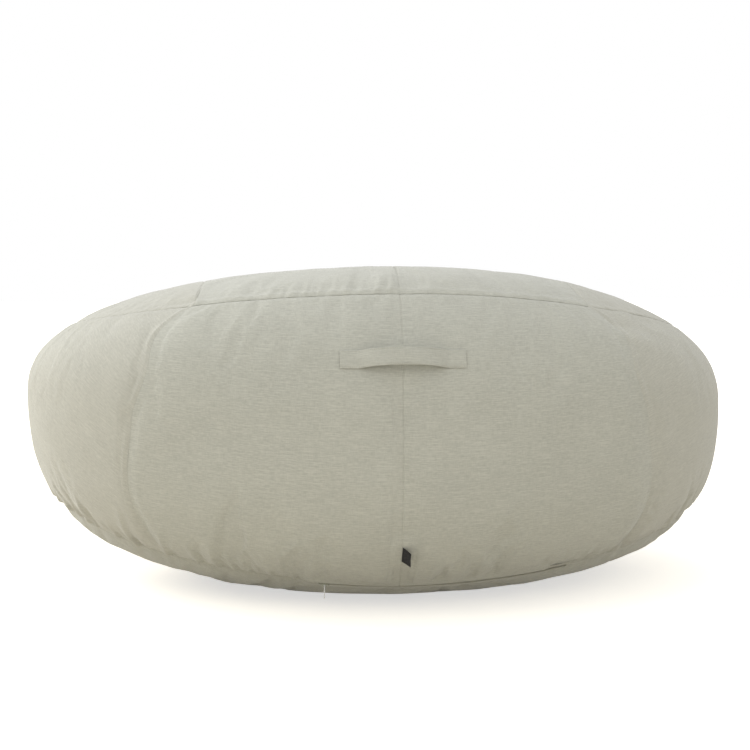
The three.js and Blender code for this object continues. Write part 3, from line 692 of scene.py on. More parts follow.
# ---------- camera, lamps, floor ----------
YAW, LOOK = np.radians(5), np.radians(5)
BACKWARD = np.array([-np.sin(YAW) * np.cos(LOOK), -np.cos(YAW) * np.cos(LOOK), np.sin(LOOK)])
RIGHTWARD = np.array([np.cos(YAW), -np.sin(YAW), 0])
AIM = np.array([0, MIDDLE_Y, 0.4345]) - RIGHTWARD * 0.0053


def make_camera():
    data = bpy.data.cameras.new("camera")
    data.sensor_width = 36
    data.lens = 79.3
    data.clip_end = 60
    camera = placed("camera", data)
    camera.location = Vector(AIM + BACKWARD * 3.6)
    camera.rotation_mode = "QUATERNION"
    camera.rotation_quaternion = Vector(-BACKWARD).to_track_quat("-Z", "Y")
    bpy.context.scene.camera = camera


def lamp(name, place, size, power, colour=(1, 1, 1)):
    data = bpy.data.lights.new(name, "AREA")
    data.shape = "DISK"
    data.size = size
    data.energy = power
    data.color = colour
    light = placed(name, data)
    light.location = place
    light.rotation_mode = "QUATERNION"
    light.rotation_quaternion = (Vector((0, 0, 0.35)) - Vector(place)).to_track_quat("-Z", "Y")


def seen_directly(tree):
    path = add(tree, "LightPath")
    seen = maths(tree, "MAXIMUM", path.outputs["Is Camera Ray"], path.outputs["Is Glossy Ray"])
    return maths(tree, "MAXIMUM", seen, path.outputs["Is Transmission Ray"])


def make_surroundings():
    bpy.context.scene.view_settings.view_transform = "Standard"
    world = bpy.data.worlds.new("studio")
    bpy.context.scene.world = world
    world.use_nodes = True
    tree = world.node_tree
    seen = seen_directly(tree)
    glow = maths(tree, "MULTIPLY_ADD", seen, 1.0 - WORLD_LEVEL, WORLD_LEVEL)
    tree.links.new(glow, tree.nodes["Background"].inputs["Strength"])
    tree.nodes["Background"].inputs["Color"].default_value = (1, 1, 1, 1)

    made, tree, shader = material("Pale floor", {"Roughness": 0.9, "Specular IOR Level": 0.1})
    place = add(tree, "TexCoord").outputs["Object"]
    mottle = add(tree, "TexNoise", {"Vector": place, "Scale": 3.0, "Detail": 3.0})
    shade = blended(tree, mottle.outputs[0], FLOOR_COLOUR, shaded(FLOOR_COLOUR, 1.03))
    tree.links.new(shade, shader.inputs["Base Color"])
    shader.inputs["Emission Color"].default_value = (1, 1, 1, 1)
    away = add(tree, "VectorMath", {0: place}, operation="LENGTH").outputs["Value"]
    open_floor = add(tree, "MapRange", {0: away, 1: 1.0, 2: 3.0}, interpolation_type="SMOOTHSTEP")
    level = maths(tree, "MULTIPLY_ADD", open_floor.outputs[0], 1.0 - FLOOR_GLOW, FLOOR_GLOW)
    glow = maths(tree, "MULTIPLY", seen_directly(tree), level)
    tree.links.new(glow, shader.inputs["Emission Strength"])
    reach = 14
    corners = [(-reach, -reach, 0), (reach, -reach, 0), (reach, reach, 0), (-reach, reach, 0)]
    floor = mesh_of("floor", np.array(corners, float) - [0, 0, 0.0004], [[0, 1, 2, 3]])
    floor.data.materials.append(made)


WORLD_LEVEL = 0.78
FLOOR_COLOUR = linear(230, 223, 208)
FLOOR_GLOW = 0.6
make_camera()
make_surroundings()
lamp("upper left", (-2.6, -2.2, 2.6), 1.8, 13)
lamp("overhead", (0.0, 0.2, 3.4), 2.6, 20)
lamp("behind left", (-3.0, 1.2, 1.6), 1.6, 56)
lamp("front", (0.4, -3.6, 2.0), 2.4, 15.5)


# ---------- the filled cover, settled ----------
def settled_cover():
    """Fills a cover sewn with drawn-in seams, and says where and how far its cloth moves."""
    points, quads = closed_skin(lambda theta, latitude: 0 * latitude, 240, 120)
    flat, quads, tips = close_ends(points, quads)
    shell = bpy.data.meshes.new("settling")
    shell.from_pydata(flat.tolist(), [], quads.tolist() + tips.tolist())
    cloth = placed("settling", shell)
    remesh = cloth.modifiers.new("even weave", "REMESH")
    remesh.mode = "VOXEL"
    remesh.voxel_size = SETTLING_STEP
    graph = bpy.context.evaluated_depsgraph_get()
    even = bpy.data.meshes.new_from_object(cloth.evaluated_get(graph))
    cloth.modifiers.clear()
    cloth.data = even
    start = corners_of(even)
    normals = np.empty(len(even.vertices) * 3, np.float32)
    even.vertices.foreach_get("normal", normals)
    seams = seam_tree()
    drawn = cloth.vertex_groups.new(name="drawn in")
    held = cloth.vertex_groups.new(name="held")
    patchy = 0.6 + 0.4 * drift(start, 0.2, 31)
    for k, place in enumerate(start):
        near = seams.find(place)[2]
        pull = np.exp(-((near / 0.011) ** 2)) * np.clip(patchy[k], 0.15, 1)
        if pull > 0.02:
            drawn.add([k], float(pull), "REPLACE")
        if place[2] < 0.006:
            held.add([k], 1.0, "REPLACE")
    filled = cloth.modifiers.new("filled", "CLOTH")
    give = filled.settings
    give.quality = 4
    give.mass = 0.3
    give.tension_stiffness = give.compression_stiffness = 20
    give.shear_stiffness = 8
    give.bending_stiffness = 0.3
    give.air_damping = 2
    give.use_pressure = True
    give.uniform_pressure_force = 4
    give.vertex_group_shrink = "drawn in"
    give.shrink_min = -0.004
    give.shrink_max = 0.085
    give.vertex_group_mass = "held"
    give.effector_weights.gravity = 0
    filled.collision_settings.use_collision = False
    filled.collision_settings.use_self_collision = False
    for step in range(1, 21):
        bpy.context.scene.frame_set(step)
    graph = bpy.context.evaluated_depsgraph_get()
    done = bpy.data.meshes.new_from_object(cloth.evaluated_get(graph))
    moved = ((corners_of(done) - start) * normals.reshape(-1, 3)).sum(-1)
    bpy.context.scene.frame_set(1)
    bpy.data.objects.remove(cloth)
    moved = moved - smoothed(moved, even, 70)
    return tree_of(start), moved


def tree_of(places):
    tree = KDTree(len(places))
    for k, place in enumerate(places):
        tree.insert(place, k)
    tree.balance()
    return tree


def smoothed(values, mesh, passes):
    """The values with their fine changes averaged out over neighbouring corners."""
    edges = np.empty(len(mesh.edges) * 2, np.int32)
    mesh.edges.foreach_get("vertices", edges)
    one, other = edges.reshape(-1, 2).T
    size = len(values)
    count = np.bincount(one, minlength=size) + np.bincount(other, minlength=size) + 1
    for _ in range(passes):
        total = np.bincount(one, values[other], size) + np.bincount(other, values[one], size)
        values = (total + values) / count
    return values


def corners_of(mesh):
    values = np.empty(len(mesh.vertices) * 3, np.float32)
    mesh.vertices.foreach_get("co", values)
    return values.reshape(-1, 3).astype(float)


def seam_tree():
    """The cover's seams as points to measure from."""
    turn = np.linspace(-np.pi, np.pi, 1800)
    lines = [skin(turn, top_seam(turn)), skin(turn, base_seam(turn))]
    for corner in (FRONT, BACK, CORNER, -CORNER, np.pi - CORNER, CORNER - np.pi):
        rise = np.linspace(base_seam(corner), top_seam(corner), 300)
        lines.append(skin(corner + lean(corner, rise), rise))
    return tree_of(np.concatenate(lines))


def settling(points):
    """How far the filling and the drawn-in seams move the cloth out or in at each point."""
    if SETTLED is None:
        return np.zeros(points.shape[:-1])
    tree, moved = SETTLED
    flat = points.reshape(-1, 3)
    result = np.empty(len(flat))
    for k, place in enumerate(flat):
        total = weight = 0.0
        for _, index, distance in tree.find_n(place, 5):
            share = 1 / (distance * distance + 1e-6)
            total += share * moved[index]
            weight += share
        result[k] = total / weight
    result = np.clip(result, -SETTLING_CAP, SETTLING_CAP).reshape(points.shape[:-1])
    low = 1 - ease((points[..., 2] - 0.15) / 0.12)
    return result * calm(points) * (0.4 + 0.7 * low)


SETTLING_STEP = 0.0105
SETTLING_CAP = 0.005
SETTLED = settled_cover()

# ---------- cover: the walls ----------
zip_joint = next(j for j in frame["joints"] if j["name"] == "zip_slide")
ZIP_CENTRE = np.array(zip_joint["pos_m"])
ZIP_AXIS = unit(np.array(zip_joint["axis"], float))


def front_longitude(x):
    thetas = np.linspace(np.radians(-140), np.radians(-40), 4001)
    return np.interp(x, skin(thetas, base_seam(thetas))[:, 0], thetas)


ZIP_FROM, ZIP_TO = front_longitude(ZIP_CLOSED_X), front_longitude(ZIP_OPEN_X)


def over_seam(theta):
    """The way up across the base seam, and the cloth's length there per radian of latitude."""
    step = 0.001
    span = skin(theta, base_seam(theta) + step) - skin(theta, base_seam(theta) - step)
    return unit(span), np.linalg.norm(span, axis=-1) / (2 * step)


def off_axis(points):
    """The part of each point's offset from the zip's centre that lies in its circle."""
    off = points - ZIP_CENTRE
    return off - (off @ ZIP_AXIS)[..., None] * ZIP_AXIS


def seam_to_chain(theta):
    """How far above the seam, along the cloth, the zip's chain runs."""
    middle = (ZIP_FROM + ZIP_TO) / 2
    radius = np.linalg.norm(off_axis(skin(middle, base_seam(middle))))
    here = skin(theta, base_seam(theta))
    chain = ZIP_CENTRE + unit(off_axis(here)) * radius
    up, _ = over_seam(theta)
    return ((chain - here) * up).sum(-1)


def zip_share(theta):
    """1 along the zip, and 0 beyond its ends."""
    run = np.radians(0.9)
    return ease((theta - ZIP_FROM + run) / run) * ease((ZIP_TO + run - theta) / run)


def hem(theta, side):
    """Latitude of the cloth's edge above or below the base seam: parted along the zip."""
    _, rate = over_seam(theta)
    # the slider needs a little more room under the upper cloth towards the open end
    room = 0.0012 * ease((theta - front_longitude(0.29)) / np.radians(3)) * (side > 0)
    parted = ZIP_LIP + side * seam_to_chain(theta) + room
    share = zip_share(theta)
    gap = parted * share + SEAM_GAP / 2 * (1 - share)
    return base_seam(theta) + side * gap / rate


FOLDS = [  # root at the seam, tip, height and width
    ((-159.8, -34.5), (-152.3, -19.5), 0.0065, 0.006),
    ((-155.5, -32.5), (-154.2, -18.5), 0.003, 0.0045),
    ((-150.5, -36), (-146.9, -25.5), 0.0045, 0.005),
    ((-145.6, -38.1), (-141.0, -19), 0.0068, 0.005),
    ((-143.2, -39.5), (-139.6, -29), 0.0028, 0.004),
    ((-139.6, -42.0), (-133.0, -24), 0.0068, 0.0055),
    ((-132.9, -43.4), (-127.7, -27), 0.0048, 0.0048),
    ((-129, -44.9), (-123.0, -23), 0.0058, 0.0048),
    ((-125.8, -45.6), (-122.1, -31), 0.004, 0.004),
    ((-122.6, -46.3), (-120.1, -35), 0.003, 0.0036),
    ((-118.4, -47.6), (-116.8, -39), 0.0018, 0.0036),
    ((-114.1, -49), (-111.7, -35), 0.0048, 0.0042),
    ((-56.5, -46.9), (-57.5, -38), 0.0024, 0.004),
    ((-52.9, -45.4), (-54, -33), 0.0042, 0.0045),
    ((-49.2, -43.9), (-52.2, -30.5), 0.0046, 0.0045),
    ((-46, -42.8), (-49, -33), 0.004, 0.004),
    ((-43.4, -41.7), (-46.8, -31), 0.0038, 0.004),
    ((-40.1, -40.4), (-44.5, -31.5), 0.0044, 0.005),
    ((-36.5, -38.6), (-39.5, -29), 0.0036, 0.0045),
    ((-162.5, -32.5), (-157.5, -22), 0.0045, 0.0045),
    ((-166, -31), (-161.5, -20), 0.0055, 0.0055),
    ((-170, -29.5), (-167, -21), 0.005, 0.0045),
    ((-174.5, -28), (-171, -18.5), 0.0055, 0.006),
    ((-26, -34.5), (-25, -25), 0.007, 0.009),
    ((-20, -31.5), (-19, -23), 0.0045, 0.006),
]
CREASES = [  # soft bends of the cloth near the top corners
    ((-41.8, 40.5), (-42.9, 34), -0.0016, 0.006),
    ((-42, 36.5), (-20, 26.5), -0.003, 0.015),
    ((-30, 37.5), (-14, 31), -0.0022, 0.012),
    ((-140.5, 46.5), (-158, 42), -0.0022, 0.008),
    ((-137.5, 41), (-144.5, 40), 0.0016, 0.006),
]


def wall(name, node, start, end, columns, cloth, middle, seams, seed):
    """A panel of the wall between the base seam and the top seam."""
    theta = np.linspace(start, end, columns)[:, None]
    low, high = hem(theta, 1), top_seam(theta)
    rows_below, rows_above = 56, 52
    below = low * (1 - spaced(rows_below, 1.35)[None])
    above = high * (1 - spaced(rows_above, 1.35)[None][:, ::-1])
    latitude = np.concatenate([below, above[:, 1:]], 1)
    theta = np.broadcast_to(theta, latitude.shape)
    theta = theta + lean(theta, latitude)
    points, out = skin(theta, latitude), skin_normal(theta, latitude)
    up, along = arc_lengths(points, 1), arc_lengths(points, 0)
    from_top = up[:, -1:] - up
    from_end = along[-1:] - along
    sewn = 1 - zip_share(theta)
    lift = unevenness(points) + settling(points)
    # base seam: the wall bulges over it
    lift += hump(up - 0.012, 0.0016, 0.011) * sewn - hump(up, 0.0028, 0.0045) * sewn
    lift += (hump(up - 0.004, 0.0012, 0.004) - hump(up, 0.0006, 0.0012)) * (1 - sewn)
    # top seam: the wall's edge goes under the top panels'
    under = 0.0006 if seams is ENDS else 0.0017
    lift += hump(from_top - 0.016, 0.0008, 0.011) - hump(from_top, under, 0.0035)
    upright = 0.35 + 0.65 * ease((points[..., 2] - 0.16) / 0.12)
    for distance, kind in ((along, seams[0]), (from_end, seams[1])):
        lift -= hump(distance, kind["dip"], kind["narrow"])
        ridge = hump(distance - kind["reach"], kind["ridge"], kind["reach"] * 0.6)
        lift += ridge * upright * (0.8 + 0.5 * drift(points, 0.11, 57))
    seam_run = along[:, :1] + seed * 0.7
    small = gathers(np.broadcast_to(seam_run, up.shape), 0.017, seed)
    large = gathers(np.broadcast_to(seam_run, up.shape), 0.034, seed + 40)
    loose = np.where((theta > np.radians(-126)) & (theta < np.radians(-54)), 0.12, 1.0)
    puckers = 0.0011 * small * np.exp(-up / 0.012) + 0.0014 * large * np.exp(-up / 0.03)
    lift += loose * sewn * puckers
    top_small = gathers(np.broadcast_to(seam_run, up.shape), 0.02, seed + 80)
    lift += 0.0005 * top_small * np.exp(-from_top / 0.014)
    for root, tip, height, width in FOLDS:
        lift += sewn * fold(points, root, tip, height, width)
    for root, tip, height, width in CREASES:
        lift += fold(points, root, tip, height, width)
    centre = np.argmin(np.abs(theta[:, 0] - middle))
    from_waist = up - up[:, rows_below - 1 : rows_below]
    grain = np.stack([along - along[centre : centre + 1], from_waist], -1)
    shallow = 0.8 * zip_share(theta[:, 0])
    return panel(name, node, points, out, lift, grain, (TURN_IN,) * 4, cloth, shallow=shallow)


PLAIN = {"dip": 0.0013, "narrow": 0.0017, "ridge": 0.0003, "reach": 0.01}
UNDER = {"dip": 0.0002, "narrow": 0.0016, "ridge": 0.0, "reach": 0.01}
RIDGED = {"dip": 0.0, "narrow": 0.0015, "ridge": 0.0015, "reach": 0.009}
ENDS = (RIDGED, RIDGED)
CORNER_REACH = 0.65  # from the body's middle to its side seams
corner_gap = SEAM_GAP / 2 / CORNER_REACH
left_corner, right_corner = -np.pi + CORNER, -CORNER
walls = [
    ("front_left", left_corner, FRONT, 330, front_cloth, FRONT, (UNDER, PLAIN)),
    ("front_right", FRONT, right_corner, 330, front_cloth, FRONT, (PLAIN, UNDER)),
    ("side_right", right_corner, CORNER, 410, side_cloth_right, RIGHT, ENDS),
    ("back_right", CORNER, BACK, 250, front_cloth, BACK, (UNDER, PLAIN)),
    ("back_left", BACK, np.pi - CORNER, 250, front_cloth, BACK, (PLAIN, UNDER)),
    ("side_left", np.pi - CORNER, np.pi + CORNER, 410, side_cloth, np.pi, ENDS),
]
cover = []
for seed, (place, start, end, columns, cloth, middle, seams) in enumerate(walls):
    side, hand = place.split("_")
    shift = -2 * np.pi if place == "side_left" else 0
    made = wall(
        f"cover_{place}",
        f"{side}_panel_{hand}",
        start + shift + corner_gap,
        end + shift - corner_gap,
        columns,
        cloth,
        middle + shift,
        seams,
        seed,
    )
    cover.append(made)


# ---------- cover: the top ----------
def plan_of(theta):
    return skin(theta, top_seam(theta))[..., :2] - [0, MIDDLE_Y]


def top_grid(across, along, inner, outer, front_edge=None, back_edge=None):
    """Plan points between two seams that run front to back, and fit two end seams."""
    s, t = across[:, None, None], along[None, :, None]
    plan = (1 - s) * inner[None] + s * outer[None]
    if front_edge is not None:
        plan = plan + (1 - t) * front_edge[:, None] + t * back_edge[:, None]
        corners = (1 - s) * (1 - t) * inner[0] + s * (1 - t) * outer[0]
        plan = plan - corners - (1 - s) * t * inner[-1] - s * t * outer[-1]
    return plan


def end_seam(along, side):
    """The seam over the top near one end, from the front corner to the back one."""
    corner = FRONT + side * (np.pi / 2 - CORNER)
    start, end = plan_of(corner), plan_of(-corner)
    t = along[:, None]
    bow = np.array([-side * TOP_SEAM_BOW, 0])
    return start + (end - start) * t + bow * 4 * t * (1 - t)


def top_panel(name, node, side, seed):
    along = spaced_both(190, 1.5)
    across = np.linspace(0, 1, 240)
    front, back = plan_of(FRONT), plan_of(BACK)
    turn = np.linalg.norm(CROWN - front) / np.linalg.norm(back - front)
    t = along[:, None]
    near = front + (CROWN - front) * t / turn
    far = CROWN + (back - CROWN) * (t - turn) / (1 - turn)
    inner = np.where(t < turn, near, far)
    outer = end_seam(along, side)
    span = side * (np.pi / 2 - CORNER)
    front_edge, back_edge = plan_of(FRONT + across * span), plan_of(BACK - across * span)
    plan = top_grid(across, along, inner, outer, front_edge, back_edge)
    points, out = cap_point(plan)
    run, width = arc_lengths(points, 1), arc_lengths(points, 0)
    to_back, to_end = run[:, -1:] - run, width[-1:] - width
    lift = unevenness(points) + settling(points)
    for distance in (run, to_back):
        lift += hump(distance - 0.011, 0.0018, 0.009) - hump(distance, 0.0004, 0.002)
    lift -= hump(width, 0.0012, 0.0024) + hump(to_end, 0.0014, 0.0026)
    seam_run = np.broadcast_to(width[:, :1], run.shape)
    small = gathers(seam_run, 0.02, seed + 7)
    few = gathers(seam_run, 0.036, seed + 19)
    middle = 1 - ease((width - 0.24) / 0.06) if side < 0 else 0.3
    leaning = np.interp(seam_run + 0.12 * run, seam_run[:, 0], small[:, 0])
    reach = 0.058 + 0.02 * few
    sharp = middle * np.exp(-((run / reach) ** 2)) * (1 - 0.8 * np.exp(-((run / 0.006) ** 2)))
    lift += 0.0026 * leaning * sharp
    lift += 0.0006 * few * np.exp(-run / 0.03)
    lift += (0.0007 * small + 0.0012 * few) * np.exp(-to_back / 0.03)
    grain = np.stack([plan[..., 0], run], -1)
    return panel(name, node, points, out, lift, grain, (TURN_IN,) * 4, front_cloth, flip=side < 0)


def top_end(name, node, side, seed):
    along = 0.002 + 0.996 * spaced_both(260, 1.3)
    across = np.linspace(0, 1, 76)
    inner = end_seam(along, side)
    start, end = (-CORNER, CORNER) if side > 0 else (-np.pi + CORNER, -np.pi - CORNER)
    outer = plan_of(start + (end - start) * along)
    plan = top_grid(across, along, inner, outer)
    points, out = cap_point(plan)
    run, width = arc_lengths(points, 1), arc_lengths(points, 0)
    to_edge = width[-1:] - width
    lift = unevenness(points) + settling(points) - hump(width, 0.0014, 0.0026)
    lift += hump(to_edge - 0.009, 0.0008, 0.008) - hump(to_edge, 0.0004, 0.002)
    seam_run = np.broadcast_to(run[-1:], run.shape)
    lift += 0.0009 * gathers(seam_run, 0.022, seed + 3) * np.exp(-to_edge / 0.02)
    for root, tip, height, width_of in CREASES[3:4]:
        lift += fold(points, root, tip, height, width_of)
    grain = np.stack([plan[..., 0], run], -1)
    turns = (TURN_IN, TURN_IN, 0, 0)
    return panel(name, node, points, out, lift, grain, turns, side_cloth, flip=side < 0)


cover += [
    top_panel("cover_top_left", "top_panel_left", -1, 50),
    top_panel("cover_top_right", "top_panel_right", 1, 60),
    top_end("cover_top_end_left", "top_end_left", -1, 70),
    top_end("cover_top_end_right", "top_end_right", 1, 72),
]


# ---------- cover: the base ----------
def base_panel():
    columns = 480
    theta = np.linspace(-np.pi, np.pi, columns + 1)[:, None]
    edge, flat = hem(theta, -1), flat_latitude(theta)
    curved = edge + (flat - edge) * spaced(44, 1.4)[None]
    points = skin(np.broadcast_to(theta, curved.shape), curved)
    out = skin_normal(np.broadcast_to(theta, curved.shape), curved)
    rim = points[:, -1:, :]
    middle = np.array([BASE_MIDDLE[0], MIDDLE_Y, 0])
    inward = np.linspace(0, 1, 16)[1:-1][None, :, None]
    disc = rim + (middle - rim) * inward
    hub = middle + 1e-5 * (rim - middle)
    down = np.broadcast_to([0.0, 0.0, -1.0], (columns + 1, disc.shape[1] + 1, 3))
    points = np.concatenate([points, disc, hub], 1)
    out = np.concatenate([out, down], 1)
    run, along = arc_lengths(points, 1), arc_lengths(points, 0)
    theta = np.broadcast_to(theta, run.shape)
    sewn = 1 - zip_share(theta)
    resting = ease((points[..., 2] - 0.004) / 0.03)
    lift = (unevenness(points) + settling(points)) * resting
    lift -= hump(run, 0.0036, 0.006) * sewn + hump(run, 0.0008, 0.0016) * (1 - sewn)
    seam_run = np.broadcast_to(along[:, :1], run.shape)
    lift += 0.0007 * sewn * gathers(seam_run, 0.026, 90) * np.exp(-run / 0.016) * resting
    points[..., 2] = np.maximum(points[..., 2], 0.0002)
    return panel(
        "cover_base",
        "base_panel",
        points,
        out,
        lift,
        grain=points[..., :2],
        turns=(0, 0, TURN_IN, 0),
        # the base takes the sage cloth painted darker as shade
        cloth=base_cloth_painted_shade,
        flip=True,
        shallow=0.8 * zip_share(theta[:, 0]),
    )


cover.append(base_panel())


# ---------- outer zip ----------
def on_zip_seam(share):
    theta = ZIP_FROM + (ZIP_TO - ZIP_FROM) * share
    return skin(theta, base_seam(theta))


zip_shares = np.linspace(0, 1, 41)
ZIP_RADIUS = np.linalg.norm(off_axis(on_zip_seam(0.08)))
stray_out = np.linalg.norm(off_axis(on_zip_seam(zip_shares)), axis=-1) - ZIP_RADIUS
stray_up = (on_zip_seam(zip_shares) - ZIP_CENTRE) @ ZIP_AXIS
STRAY = np.hypot(stray_out, stray_up).max()
ZIP_START = unit(off_axis(on_zip_seam(0.0)))
ZIP_ASIDE = np.cross(ZIP_AXIS, ZIP_START)
ZIP_ANGLE = np.arccos(np.clip(unit(off_axis(on_zip_seam(1.0))) @ ZIP_START, -1, 1))
middle_theta = (ZIP_FROM + ZIP_TO) / 2
middle_out = skin_normal(middle_theta, base_seam(middle_theta))
half_turn = ZIP_START * np.cos(ZIP_ANGLE / 2) + ZIP_ASIDE * np.sin(ZIP_ANGLE / 2)
ZIP_TILT = np.arctan2(middle_out @ ZIP_AXIS, middle_out @ half_turn)
COIL_INNER = -TAPE_DEPTH + COIL_CLEARANCE + STRAY
COIL_OUTER = COIL_INNER + COIL_HEIGHT


def zip_point(angle, sideways, outwards):
    """A point by its angle along the zip, its distance above the chain, and out of it."""
    angle, sideways, outwards = np.broadcast_arrays(angle, sideways, outwards)
    radial = ZIP_START * np.cos(angle)[..., None] + ZIP_ASIDE * np.sin(angle)[..., None]
    out = radial * np.cos(ZIP_TILT) + ZIP_AXIS * np.sin(ZIP_TILT)
    across = np.cross(out, np.cross(ZIP_AXIS, radial))
    origin = ZIP_CENTRE + radial * ZIP_RADIUS
    return origin + across * sideways[..., None] + out * outwards[..., None]


def tube(path, radius, sides=6):
    """Points and faces of a round wire along a path; radius may change along it."""
    path = np.asarray(path, float)
    way = unit(np.gradient(path, axis=0))
    side = unit(np.cross(way[0], [0.3, 0.5, 0.8]))
    sidelong = np.empty_like(path)
    for k, direction in enumerate(way):
        side = side - direction * (side @ direction)
        side = side / np.linalg.norm(side)
        sidelong[k] = side
    upward = np.cross(way, sidelong)
    turn = np.linspace(0, 2 * np.pi, sides, endpoint=False)
    ring = sidelong[:, None] * np.cos(turn)[:, None] + upward[:, None] * np.sin(turn)[:, None]
    radius = np.broadcast_to(radius, len(path))
    points = path[:, None] + ring * radius[:, None, None]
    k, j = np.meshgrid(np.arange(len(path) - 1), np.arange(sides), indexing="ij")
    here, there = k * sides, (k + 1) * sides
    faces = np.stack([here + j, here + (j + 1) % sides, there + (j + 1) % sides, there + j], -1)
    return points.reshape(-1, 3), faces.reshape(-1, 4)


def joined(parts):
    """Several sets of points and faces as one."""
    counts = np.cumsum([0] + [len(points) for points, _ in parts[:-1]])
    points = np.concatenate([points for points, _ in parts])
    return points, np.concatenate([faces + count for (_, faces), count in zip(parts, counts)])


def plain_grain(points):
    return np.stack([points[:, 0], points[:, 2] - points[:, 1]], -1)


def coil(name, side):
    """One side of the chain: a wire wound round and round, its turns in step with the other's."""
    margin = (STOP_LENGTH + COIL_CLEARANCE + STOP_GAP) / ZIP_RADIUS
    length = (ZIP_ANGLE - 2 * margin) * ZIP_RADIUS
    turns = int(length / COIL_PITCH)
    t = np.linspace(0, 1, turns * 12 + 1)
    wind = 2 * np.pi * turns * t + (np.pi if side < 0 else 0)
    angle = margin + (ZIP_ANGLE - 2 * margin) * t
    sideways = side * (0.00165 + 0.00095 * np.cos(wind))
    outwards = (COIL_INNER + COIL_OUTER) / 2 + 0.00052 * np.sin(wind)
    points, faces = tube(zip_point(angle, sideways, outwards), COIL_WIRE, 5)
    piece = mesh_of(name, points, faces)
    piece.data.materials.append(coil_plastic)
    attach(piece, "pouf")
    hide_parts(name.replace("wire", "coil"))


def tape(name, side):
    """The ribbed tape that the coil is sewn to, under the cloth beside the zip."""
    past = np.radians(0.75)
    theta = np.linspace(ZIP_FROM - past, ZIP_TO + past, 270)[:, None]
    latitude = base_seam(theta)
    _, rate = over_seam(theta)
    share, inner = zip_share(theta), 0.0011 + STRAY
    outer = np.where(share > 0.9999, TAPE_REACH - 0.0004, np.maximum(0.0042 * share, inner + 0.0002))
    reach = inner + (outer - inner) * np.linspace(0, 1, 14)[None]
    latitude = latitude + side * reach / rate
    theta = np.broadcast_to(theta, latitude.shape)
    out = skin_normal(theta, latitude)
    points = skin(theta, latitude) - out * (TAPE_DEPTH + 0.00008)
    along, up = arc_lengths(points, 0), arc_lengths(points, 1)
    ribs = 0.00005 * np.cos(up / 0.0022 * 2 * np.pi)
    points = points - out * ribs[..., None]
    faces = grid_faces(*latitude.shape, flip=side < 0)
    grain = np.stack([along, up], -1).reshape(-1, 2)
    piece = mesh_of(name, points.reshape(-1, 3), faces, grain)
    thicken(piece, 0.0006)
    # the tape's colour is painted lighter against the shade in the slot
    piece.data.materials.append(lightened_tape_cloth)
    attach(piece, "pouf")
    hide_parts(name.replace("ribbed", "zip"))


coil("zip_wire_upper", 1)
coil("zip_wire_lower", -1)
tape("ribbed_tape_upper", 1)
tape("ribbed_tape_lower", -1)


def finish_node(name, surface, bevel=0.0002, segments=2):
    """A hard piece that keeps its shape: eased edges and a finish."""
    node = frame["nodes"][name]
    node.data.materials.clear()
    node.data.materials.append(surface)
    if bevel:
        eased = node.modifiers.new("eased edges", "BEVEL")
        eased.width = bevel
        eased.segments = segments
        eased.limit_method = "ANGLE"
        eased.angle_limit = np.radians(30)
        eased.harden_normals = False


for name in ("zip_slider", "zip_stop_closed", "zip_stop_open", "liner_zip_slider"):
    finish_node(name, painted, 0.00022, 3)
finish_node("zip_pull", bright, 0.0004, 3)


# ---------- carry handle ----------
def handle_lift(x):
    """How far the strap stands off the cloth: seated at its sewn ends, bowed between them."""
    spots = np.linspace(-0.2, 0.2, 2001)
    share = np.minimum(np.abs(spots) / (HANDLE_LENGTH / 2 - HANDLE_SEWN), 1)
    bow = HANDLE_BOW * (1 - share**HANDLE_FLATNESS)
    soft = np.exp(-((np.linspace(-0.01, 0.01, 101) / 0.0035) ** 2))
    bow = np.convolve(bow, soft / soft.sum(), mode="same")
    return HANDLE_SEAT + np.interp(x - HANDLE_X, spots, bow)


strap_root, strap_normal = front_point(np.array(HANDLE_X), np.array(HANDLE_Z))
STRAP_UP = unit(np.cross(strap_normal, [1.0, 0, 0]))
STRAP_OUT = np.cross([1.0, 0, 0], STRAP_UP)


def strap_point(x, v, outwards):
    """A point of the strap: along it, up across its width, and out of the cloth under it."""
    x, v, outwards = np.broadcast_arrays(x, v, outwards)
    seat, _ = front_point(x, HANDLE_Z + STRAP_UP[2] * v)
    return seat + STRAP_OUT * (handle_lift(x) + outwards)[..., None]


